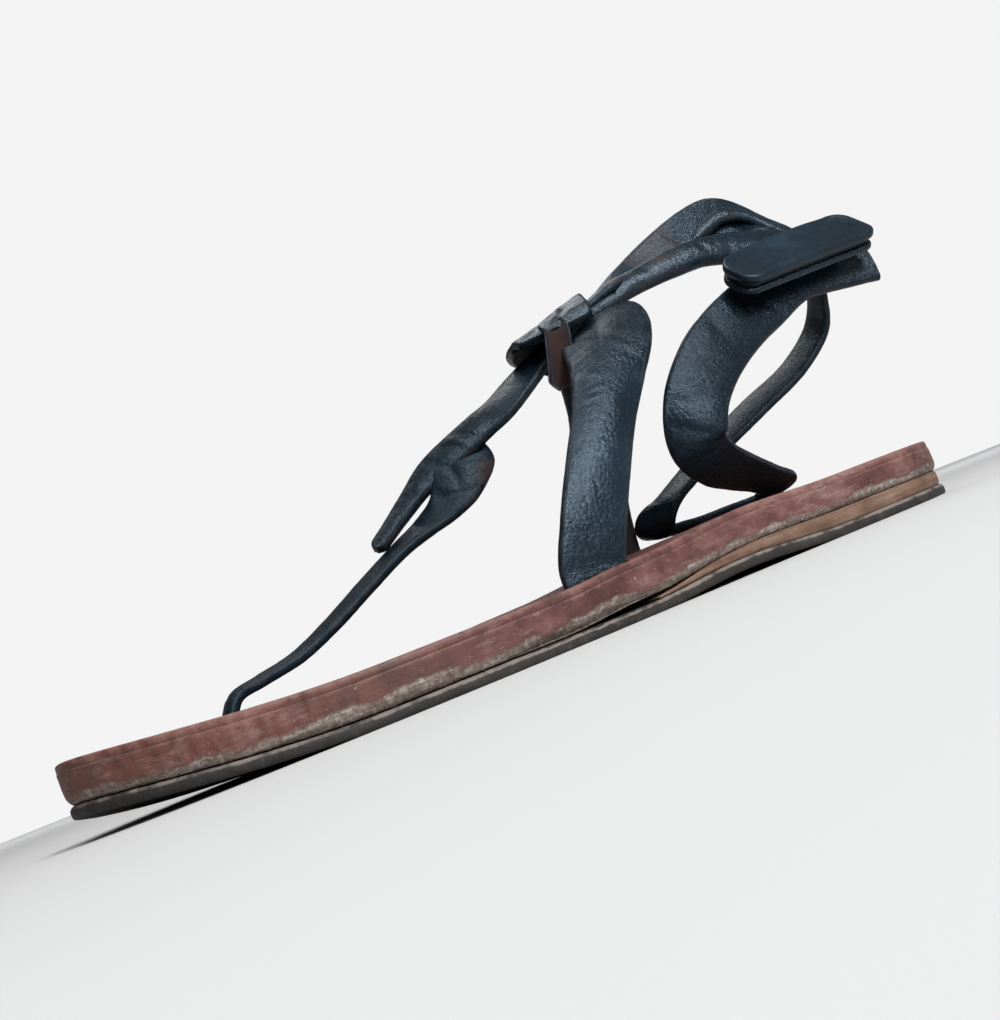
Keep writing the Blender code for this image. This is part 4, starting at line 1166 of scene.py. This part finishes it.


# main creases, listed one by one: along, across, depth, width, slope, reach (mm; negative depth is a ridge)
TOE_HAND = [
    (70.0, 0.0, 0.40, 1.4, 0.3, 4.2), (76.0, -1.5, -0.55, 1.8, -0.6, 4.5), (81.0, 2.0, 0.60, 1.1, 0.8, 6.0),
    (86.5, -2.5, 0.55, 1.2, -0.7, 5.2), (88.5, 3.4, -0.50, 1.6, 0.4, 4.6), (92.5, 0.0, 0.40, 0.9, 0.5, 5.4),
]
INSTEP_HAND = [
    (12.0, 0.0, 0.22, 1.0, 0.4, 3.0), (19.0, 0.5, -0.25, 1.6, -0.4, 3.2), (25.5, 0.0, 0.25, 0.9, 0.5, 4.0),
    (33.5, -0.6, -0.40, 1.3, 0.5, 3.6), (36.5, 0.8, 0.40, 0.9, 0.4, 4.0), (47.0, 0.0, 0.16, 1.2, -0.3, 5.0),
    (56.0, 1.0, 0.16, 1.1, 0.4, 5.0),
]
LATERAL_HAND = [
    (68.0, -8.0, 0.35, 1.1, 0.9, 4.5), (63.5, -6.4, -0.30, 1.2, 0.9, 4.2), (59.5, -6.2, 0.34, 0.8, 0.9, 3.8),
    (56.0, -5.0, -0.24, 1.0, 0.8, 3.6), (52.4, -4.0, 0.26, 0.7, 0.7, 3.6), (49.6, -3.6, 0.20, 0.6, 0.6, 3.4),
    (46.6, -3.0, 0.24, 0.7, 0.5, 3.6), (43.8, -2.6, 0.18, 0.5, 0.4, 3.8), (41.4, -2.2, 0.20, 0.55, 0.2, 4.2),
    (38.6, -1.4, 0.18, 0.5, 0.1, 4.6), (35.8, -0.8, 0.17, 0.5, 0.1, 5.0), (33.2, -0.4, 0.16, 0.5, 0.0, 5.4),
    (30.4, 0.0, 0.15, 0.5, 0.05, 5.8), (27.4, 0.4, 0.13, 0.5, 0.0, 5.8), (24.4, 0.0, 0.13, 0.5, 0.05, 5.6),
    (74.0, 1.0, 0.16, 1.8, -0.5, 7.0), (66.0, 5.5, 0.15, 1.6, -0.7, 5.0),
]
MEDIAL_HAND = [
    (71.0, -4.0, 0.30, 1.3, 0.7, 6.5), (75.0, 4.0, 0.42, 1.0, 0.8, 7.0), (77.4, 3.4, -0.45, 1.2, 0.7, 7.0),
    (80.4, 1.5, 0.50, 0.9, 0.6, 7.5), (82.6, -5.0, -0.40, 1.2, 0.5, 5.5), (84.6, -4.0, 0.45, 0.9, 0.9, 6.0),
    (86.4, 4.5, 0.40, 0.9, 0.5, 6.0), (88.4, -1.0, -0.30, 0.9, 0.4, 7.0),
]
LINK_OUTER_HAND = [
    (9.0, 0.4, 0.30, 1.0, 0.25, 4.0), (12.5, -0.6, -0.26, 1.4, 0.8, 3.6), (16.0, 0.6, -0.22, 1.8, -0.5, 3.8),
    (20.5, -0.5, 0.18, 1.0, 0.5, 3.6), (38.5, 0.0, 0.16, 1.2, 0.4, 4.0), (46.5, 0.5, 0.20, 1.2, -0.4, 4.2),
]
LINK_INNER_HAND = [
    (27.0, 0.0, -0.30, 1.2, 0.5, 6.5), (30.2, 0.0, 0.45, 0.8, 0.5, 6.5), (40.0, 2.0, 0.30, 2.2, -0.4, 6.0),
    (50.0, 1.0, 0.30, 1.8, 0.4, 5.5), (57.0, 0.0, 0.25, 1.2, 0.3, 5.0),
]
ANKLE_HAND = [
    (38.0, -3.0, 0.22, 1.4, 0.6, 6.0), (55.0, 3.0, 0.22, 1.6, -0.5, 6.5), (66.0, -2.0, 0.26, 1.6, 0.4, 7.0),
    (78.0, 2.0, 0.28, 1.8, 0.3, 7.0), (85.0, 0.0, 0.30, 1.4, -0.3, 7.0), (92.0, 0.0, 0.26, 1.2, 0.4, 6.5),
]

toe = Strap("toe_strap_leather", TOE_STRAP, 11, cup=lambda f: -0.10 - 1.5 * bump_at(f, 0.93, 0.10), round_end=5.0,
            ridge=0.15, bend=0.4, hand=TOE_HAND, tan=lambda u, v: 0.75 * bump_at(u, 88.0, 7.0) * step01(v, 1.0, 6.0))
instep = Strap("instep_strap_leather", INSTEP_STRAP, 12, cup=lambda f: -0.6 - 0.6 * bump_at(f, 0.42, 0.08),
               round_start=2.0, creases=0.9, hand=INSTEP_HAND)
lateral = Strap("outer_side_strap_leather", LATERAL_STRAP, 13,
                cup=lambda f: -0.35 - 1.25 * step01(f, 0.08, 0.42) - 0.5 * bump_at(f, 0.85, 0.12), creases=0.8, hand=LATERAL_HAND)
medial = Strap("inner_side_strap_leather", MEDIAL_STRAP, 14, cup=lambda f: -0.5, round_end=1.4, creases=1.2, hand=MEDIAL_HAND)
fold = Strap("band_fold_leather", BAND_FOLD, 19, step=0.6, cup=lambda f: 2.1, round_end=1.8, creases=0.6)
link_root = Strap("link_root_leather", LINK_ROOT, 15, cup=lambda f: -0.2, creases=1.2)
link_outer = Strap("link_outer_strand_leather", LINK_OUTER, 16, cup=lambda f: -0.75, ridge=0.45, creases=0.7,
                   hand=LINK_OUTER_HAND, tan=lambda u, v: 0.65 * bump_at(u, 26.5, 9.0) * bump_at(v, -1.0, 2.2))
link_inner = Strap("link_inner_strand_leather", LINK_INNER, 17, cup=lambda f: 0.5 * bump_at(f, 0.6, 0.25) - 0.2,
                   hand=LINK_INNER_HAND, tan=lambda u, v: 0.95 * (1 - step01(u, 29.0, 31.5)) * step01(u, 10.0, 16.0))
link_rim = Strap("link_inner_rim_leather", LINK_RIM, 20, step=0.6, cup=lambda f: -0.9, round_start=3.0, round_end=2.0, creases=0.6)
ankle = Strap("ankle_strap_leather", ANKLE_STRAP, 18, cup=lambda f: -0.85, creases=0.9, bend=0.7, hand=ANKLE_HAND)

pieces_upper = [
    toe.build([MAT_DULL, MAT_FLESH], top_n=21),
    instep.build([MAT_KNOT, MAT_FLESH], top_n=19),
    lateral.build([MAT_STRAP, MAT_FLESH], top_n=31),
    medial.build([MAT_GLOSS, MAT_FLESH], top_n=31),
    fold.build([MAT_DULL, MAT_STRAP, MAT_LINING], top_n=15, flesh_top_from=-1.0, flesh_top_to=1e9),
]
pieces_link = [
    link_root.build([MAT_STRAP, MAT_FLESH]),
    link_outer.build([MAT_GLOSS, MAT_FLESH]),
    link_inner.build([MAT_STRAP, MAT_FLESH], top_n=23),
    link_rim.build([MAT_GLOSS, MAT_FLESH], top_n=9),
]
ankle_piece = ankle.build([MAT_ANKLE, MAT_FLESH], top_n=19)


# ---------------------------------------------------------------------- stitches
def stitches(name, strap, path, long=2.1, pitch=3.0, radius=0.30, lift=0.02):
    """Thread stitches along a path of (u, v) points on a strap's grain side."""
    path = np.array(path, float)
    seg = np.linalg.norm(np.diff(path, axis=0), axis=1)
    s = np.concatenate([[0.0], np.cumsum(seg)])
    verts, faces = [], []
    pos = 0.6
    while pos + long < s[-1]:
        ring_prev = None
        for k in range(6):
            f = k / 5
            d = pos + long * f
            u, v = np.interp(d, s, path[:, 0]), np.interp(d, s, path[:, 1])
            u2, v2 = np.interp(min(d + 0.3, s[-1]), s, path[:, 0]), np.interp(min(d + 0.3, s[-1]), s, path[:, 1])
            p, nrm, _ = strap.surface(u, v)
            q, _, _ = strap.surface(u2, v2)
            tan = (q - p).normalized() if (q - p).length > 1e-6 else Vector((1, 0, 0))
            side = tan.cross(nrm).normalized()
            prof = math.sin(math.pi * (0.10 + 0.80 * f))
            rr = radius * (0.55 + 0.45 * prof)
            c = p + nrm * (lift + radius * 0.55 * prof - 0.30 * (1 - prof))
            ring = []
            for a in range(8):
                an = 2 * math.pi * a / 8
                verts.append(c + side * (rr * math.cos(an)) + nrm * (rr * 0.75 * math.sin(an)))
                ring.append(len(verts) - 1)
            if ring_prev:
                for a in range(8):
                    b = (a + 1) % 8
                    faces.append((ring_prev[a], ring_prev[b], ring[b], ring[a]))
            else:
                faces.append(tuple(ring[::-1]))
            ring_prev = ring
        faces.append(tuple(ring_prev))
        pos += pitch
    return build_object(name, verts, faces, [MAT_THREAD], sharp=60)


stitch_pieces = [
    stitches("stitch_outer_strap", lateral, [(74.5, 0.4), (66.0, 0.9), (60.3, 0.9), (54.0, 1.3), (47.5, 2.2)], 1.5, 2.7, 0.24),
]


# --------------------------------------------------------------------- ankle tab
def tab_outline(lx, lz, radii, n):
    """Rounded rectangle from the middle of its rear end, over the top to the front end and back below, n points."""
    ur, uf, lf, lr = radii
    hx, hz = lx / 2, lz / 2
    runs = [("l", (hx, 0), (hx, hz - ur)), ("a", (hx - ur, hz - ur), ur, 0.0), ("l", (hx - ur, hz), (-hx + uf, hz)),
            ("a", (-hx + uf, hz - uf), uf, 0.5), ("l", (-hx, hz - uf), (-hx, -hz + lf)), ("a", (-hx + lf, -hz + lf), lf, 1.0),
            ("l", (-hx + lf, -hz), (hx - lr, -hz)), ("a", (hx - lr, -hz + lr), lr, 1.5), ("l", (hx, -hz + lr), (hx, 0))]
    lens = [math.dist(q[1], q[2]) if q[0] == "l" else math.pi / 2 * q[2] for q in runs]
    total = sum(lens)
    pts = []
    for k in range(n):
        d = total * k / n
        for q, length in zip(runs, lens):
            if d <= length + 1e-9:
                f = min(1.0, d / max(length, 1e-9))
                if q[0] == "l":
                    pts.append((q[1][0] + (q[2][0] - q[1][0]) * f, q[1][1] + (q[2][1] - q[1][1]) * f))
                else:
                    a = math.pi * q[3] + math.pi / 2 * f
                    pts.append((q[1][0] + q[2] * math.cos(a), q[1][1] + q[2] * math.sin(a)))
                break
            d -= length
    return pts


def tab_piece(name, lx, lz, radii, th, off, mat, seed, lip, rim_wear):
    """One layer of the tab: rounded rectangle, slightly hollow face inside a raised rim, softened edges, rear end lifted."""
    outer = tab_outline(lx, lz, radii, 112)
    n = len(outer)
    levels = [
        # inset, depth from the middle (outer face negative)
        (0.50, th / 2), (0.16, th / 2 - 0.16), (0.0, th / 2 - 0.48), (0.0, -th / 2 + 0.62), (0.10, -th / 2 + 0.34), (0.28, -th / 2 + 0.12),
        (0.52, -th / 2), (0.85, -th / 2 - 0.03), (1.15, -th / 2 + 0.03), (1.5, -th / 2 + 0.13), (2.1, -th / 2 + 0.19), (3.2, -th / 2 + 0.22),
    ]
    verts, rim, uvs = [], [], []
    turns = (Matrix.Rotation(math.radians(TAB_TURN), 3, "Z") @ Matrix.Rotation(math.radians(-TAB_LEAN), 3, "Y")
             @ Matrix.Rotation(math.radians(-TAB_TILT), 3, "X"))
    centre = Vector(TAB_CENTRE)

    def place(x, y, z, e):
        if z > 0:
            z += 1.2 * (z / (lz / 2)) * (1 - min(1.0, abs(2 * x / lx - 0.25)) ** 2)
        y += off + 0.10 * mnoise.noise(Vector((x / 6.0, z / 4.0, seed))) + 0.9 * (x / lx) ** 2
        y -= lip * step01(x / lx, 0.36, 0.5)
        x += 0.12 * mnoise.noise(Vector((z / 3.0, seed, 2.0)))
        verts.append(centre + turns @ Vector((x, y, z)))
        rim.append(e)
        uvs.append((x / 100.0, z / 100.0))
        return len(verts) - 1

    def inset_pt(k, d):
        x, z = outer[k]
        x0, z0 = outer[k - 1]
        x1, z1 = outer[(k + 1) % n]
        tx, tz = x1 - x0, z1 - z0
        q = math.hypot(tx, tz) or 1.0
        return x - (tz / q) * d, z + (tx / q) * d

    rings = []
    for idx, (d, y) in enumerate(levels):
        rings.append([place(*(lambda p: (p[0], y, p[1]))(inset_pt(k, d)), rim_wear if 1 <= idx <= 8 else 0.1) for k in range(n)])
    faces = []
    for a, b in zip(rings[:-1], rings[1:]):
        for k in range(n):
            j = (k + 1) % n
            faces.append((a[k], a[j], b[j], b[k]))
    half = n // 2
    for ring, y, d in ((rings[0], th / 2, 0.50), (rings[-1], -th / 2 + 0.22, 3.2)):
        rows = []
        for k in range(1, half):
            xa, za = inset_pt(k, d)
            xb, zb = inset_pt(n - k, d)
            row = [ring[k]]
            for m in range(1, 10):
                f = m / 10
                x, z = xa + (xb - xa) * f, za + (zb - za) * f
                hollow = 0.06 * math.sin(x * 0.35 + 1.0) * (1 - (2 * f - 1) ** 2) if y < 0 else 0.0
                row.append(place(x, y + hollow, z, 0.0))
            row.append(ring[n - k])
            rows.append(row)
        for r0, r1 in zip(rows[:-1], rows[1:]):
            for m in range(10):
                faces.append((r0[m], r0[m + 1], r1[m + 1], r1[m]))
        for m in range(10):
            faces.append((ring[0], rows[0][m + 1], rows[0][m]))
            faces.append((ring[half], rows[-1][m], rows[-1][m + 1]))
    return build_object(name, verts, faces, [mat], {"rim": rim, "tan": [0.0] * len(rim)}, None, uvs, sharp=50)


tab = tab_piece("ankle_tab_leather", TAB_SIZE[0], TAB_SIZE[1], TAB_CORNERS, 2.2, -1.6, MAT_TAB, 5.0, 0.5, 0.55)
tab_core = tab_piece("ankle_tab_core", TAB_SIZE[0] - 2.2, TAB_SIZE[1] - 2.0, (4.0, 6.0, 3.0, 2.4), 1.6, 0.2, MAT_DULL, 6.0, 0.5, 0.9)
tab_back = tab_piece("ankle_tab_backing", TAB_SIZE[0] - 0.8, TAB_SIZE[1] - 0.6, (4.6, 6.6, 3.6, 2.8), 1.8, 1.8, MAT_STRAP, 8.0, 0.3, 0.8)


# ------------------------------------------------------------ slits round the feet, as dark sheets with their shadow painted in
# a dark sheet a little larger than the strap, sunk into the footbed, painting the shadow gap of the slit round its foot
def slit_shadow_sheet(name, row, grow=0.7):
    x, y = row[0], row[1]
    face = Vector((row[3], row[4], 0.0)).normalized()
    along = Vector((-face.y, face.x, 0.0))
    w, h = row[6] + 2 * grow, row[7] + 2 * grow
    verts, faces = [], []
    n = 40
    for lift, g in ((0.03, 0.0), (0.12, -0.12), (0.10, -0.35), (-0.5, -0.5)):
        for k in range(n):
            a = 2 * math.pi * k / n
            px = (w / 2 + g) * math.copysign(abs(math.cos(a)) ** 0.35, math.cos(a))
            py = (h / 2 + g) * math.copysign(abs(math.sin(a)) ** 0.6, math.sin(a))
            p = Vector((x, y, 0)) + along * px + face * py
            verts.append((p.x, p.y, insole_top(p.x / SOLE_LENGTH + 0.5) - 0.34 * footbed_print(p.x, p.y, 0) + lift))
    for r in range(3):
        for k in range(n):
            j = (k + 1) % n
            faces.append((r * n + k, r * n + j, (r + 1) * n + j, (r + 1) * n + k))
    faces.append(tuple(3 * n + k for k in range(n)))
    return build_object(name, verts, faces, [MAT_SLIT_SHADOW], sharp=60)


slit_shadow_sheets = [slit_shadow_sheet("slit_shadow_toe_post", TOE_STRAP[2]), slit_shadow_sheet("slit_shadow_outer_strap", LATERAL_STRAP[2]), slit_shadow_sheet("slit_shadow_inner_strap", MEDIAL_STRAP[2])]

# --------------------------------------------------------------- ride and replace
for ob, nodename, slotname in (
    (outsole, "outsole", "outsole_rubber"), (wedge, "heel_wedge", "wedge_leather"), (midsole, "midsole", "midsole_leather"),
    (insole, "insole", "insole_leather"), (pieces_upper[0], "upper", "strap_leather"), (pieces_link[0], "ankle_link", "strap_leather"),
    (ankle_piece, "ankle_strap", "strap_leather"), (tab, "ankle_tab", "tab_leather"),
):
    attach(ob, "root")
    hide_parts(nodename)
for ob in pieces_upper[1:] + pieces_link[1:] + stitch_pieces:
    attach(ob, "root")
for ob in (tab_core, tab_back):
    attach(ob, "root")
for ob in treads:
    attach(ob, "root")
for ob in slit_shadow_sheets:
    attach(ob, "root")

# ------------------------------------------------------------------------- stage
stage_mat, nt, bsdf = new_material("pale_floor", 0.95, Specular_IOR_Level=0.0)
f = tex_noise(nt, obj_coords(nt), 3.0, 2.0)
near = ramp(nt, f, [(0.3, (0.485, 0.472, 0.462)), (0.7, (0.505, 0.492, 0.482))])
# paler away from the lamps, so that the floor looks evenly lit up to its far edge
reach = nt.nodes.new("ShaderNodeVectorMath")
reach.operation = "LENGTH"
nt.links.new(obj_coords(nt), reach.inputs[0])
axes = nt.nodes.new("ShaderNodeSeparateXYZ")
nt.links.new(obj_coords(nt), axes.inputs[0])
away = remap(nt, axes.outputs["Y"], -0.30, 0.30, 0.0, 1.0)
far = maths(nt, "MULTIPLY", remap(nt, reach.outputs["Value"], 0.40, 1.20, 0.0, 1.0), away)
nt.links.new(mix(nt, far, near, (0.92, 0.92, 0.92)), bsdf.inputs["Base Color"])
fm = bpy.data.meshes.new("floor")
S = 1.6
fm.from_pydata([(-S, -S, 0), (S, -S, 0), (S, S, 0), (-S, S, 0)], [], [(0, 1, 2, 3)])
fm.materials.append(stage_mat)
floor = bpy.data.objects.new("floor", fm)
bpy.context.scene.collection.objects.link(floor)

world = bpy.data.worlds.new("studio")
bpy.context.scene.world = world
world.use_nodes = True
bg = world.node_tree.nodes["Background"]
bg.inputs["Color"].default_value = (0.94, 0.97, 1.0, 1.0)
bg.inputs["Strength"].default_value = 0.16
# a pale studio wall behind, dim enough on the sandal to keep its leather dark
wnt = world.node_tree
seen = wnt.nodes.new("ShaderNodeLightPath")
wall = wnt.nodes.new("ShaderNodeBackground")
wall.inputs["Color"].default_value = (0.90, 0.90, 0.90, 1.0)
wall.inputs["Strength"].default_value = 1.0
pick = wnt.nodes.new("ShaderNodeMixShader")
wnt.links.new(seen.outputs["Is Camera Ray"], pick.inputs[0])
wnt.links.new(bg.outputs[0], pick.inputs[1])
wnt.links.new(wall.outputs[0], pick.inputs[2])
wnt.links.new(pick.outputs[0], wnt.nodes["World Output"].inputs["Surface"])
bpy.context.scene.view_settings.view_transform = "Standard"


def area_light(name, loc, target, size, energy, colour=(1, 1, 1), size_y=None):
    li = bpy.data.lights.new(name, "AREA")
    li.energy, li.size, li.color = energy, size, colour
    if size_y:
        li.shape, li.size_y = "RECTANGLE", size_y
    ob = bpy.data.objects.new(name, li)
    bpy.context.scene.collection.objects.link(ob)
    ob.location = loc
    ob.rotation_euler = (Vector(target) - Vector(loc)).to_track_quat("-Z", "Y").to_euler()
    return ob


area_light("key", (-0.30, -0.85, 1.15), (0.02, 0.0, 0.03), 0.30, 2.6, (1.0, 0.99, 0.98))
area_light("high_strip", (0.16, -0.84, 0.92), (0.005, -0.03, 0.04), 0.12, 13.0, (0.92, 0.97, 1.0), 0.58)
area_light("front_strip", (-0.05, -1.16, 0.52), (0.01, 0.0, 0.05), 0.13, 7.5, (0.93, 0.97, 1.0), 0.60)
area_light("fill", (0.95, -0.55, 0.45), (0.02, 0.0, 0.03), 0.4, 0.8, (0.92, 0.96, 1.0))
area_light("top", (0.15, 0.45, 1.25), (0.02, 0.0, 0.03), 0.5, 2.6)
area_light("back", (0.60, 0.90, 0.95), (0.02, 0.0, 0.05), 0.36, 1.1, (0.93, 0.97, 1.0))
sun = bpy.data.lights.new("soft_sun", "SUN")
sun.energy, sun.angle, sun.color = 0.75, math.radians(38.0), (1.0, 1.0, 1.0)
sun_ob = bpy.data.objects.new("soft_sun", sun)
bpy.context.scene.collection.objects.link(sun_ob)
sun_ob.rotation_euler = (Vector((0.05, 0.35, -1.0))).to_track_quat("-Z", "Y").to_euler()

# ------------------------------------------------------------------------ camera
EYE = Vector((-202.0, -349.0, 8.0)) + SHIFT         # mm
AZ, EL, ROLL = math.radians(44.0), math.radians(-0.6), math.radians(-22.6)


def view_axes(az, el, roll):
    fwd = Vector((math.sin(az) * math.cos(el), math.cos(az) * math.cos(el), -math.sin(el)))
    right = Vector((math.cos(az), -math.sin(az), 0.0))
    up = right.cross(fwd)
    return fwd, right * math.cos(roll) + up * math.sin(roll), up * math.cos(roll) - right * math.sin(roll)


# aim at the middle of the sandal's outline as seen from the eye, keeping the picture's upright
_, _, up0 = view_axes(AZ, EL, ROLL)
LOOK = Vector((-1.8, 3.5, 36.1)) + SHIFT
fwd = (LOOK - EYE).normalized()
up1 = (up0 - fwd * up0.dot(fwd)).normalized()
right1 = fwd.cross(up1).normalized()
cam_data = bpy.data.cameras.new("camera")
cam = bpy.data.objects.new("camera", cam_data)
bpy.context.scene.collection.objects.link(cam)
m3 = Matrix((right1, up1, -fwd)).transposed()
cam.matrix_world = Matrix.Translation(EYE * MM) @ m3.to_4x4()
cam_data.sensor_fit = "HORIZONTAL"
cam_data.sensor_width = 36.0
cam_data.lens = 1700.0 / 1000.0 * 36.0
cam_data.clip_start = 0.01
cam_data.clip_end = 50.0
cam_data.dof.use_dof = False
bpy.context.scene.camera = cam
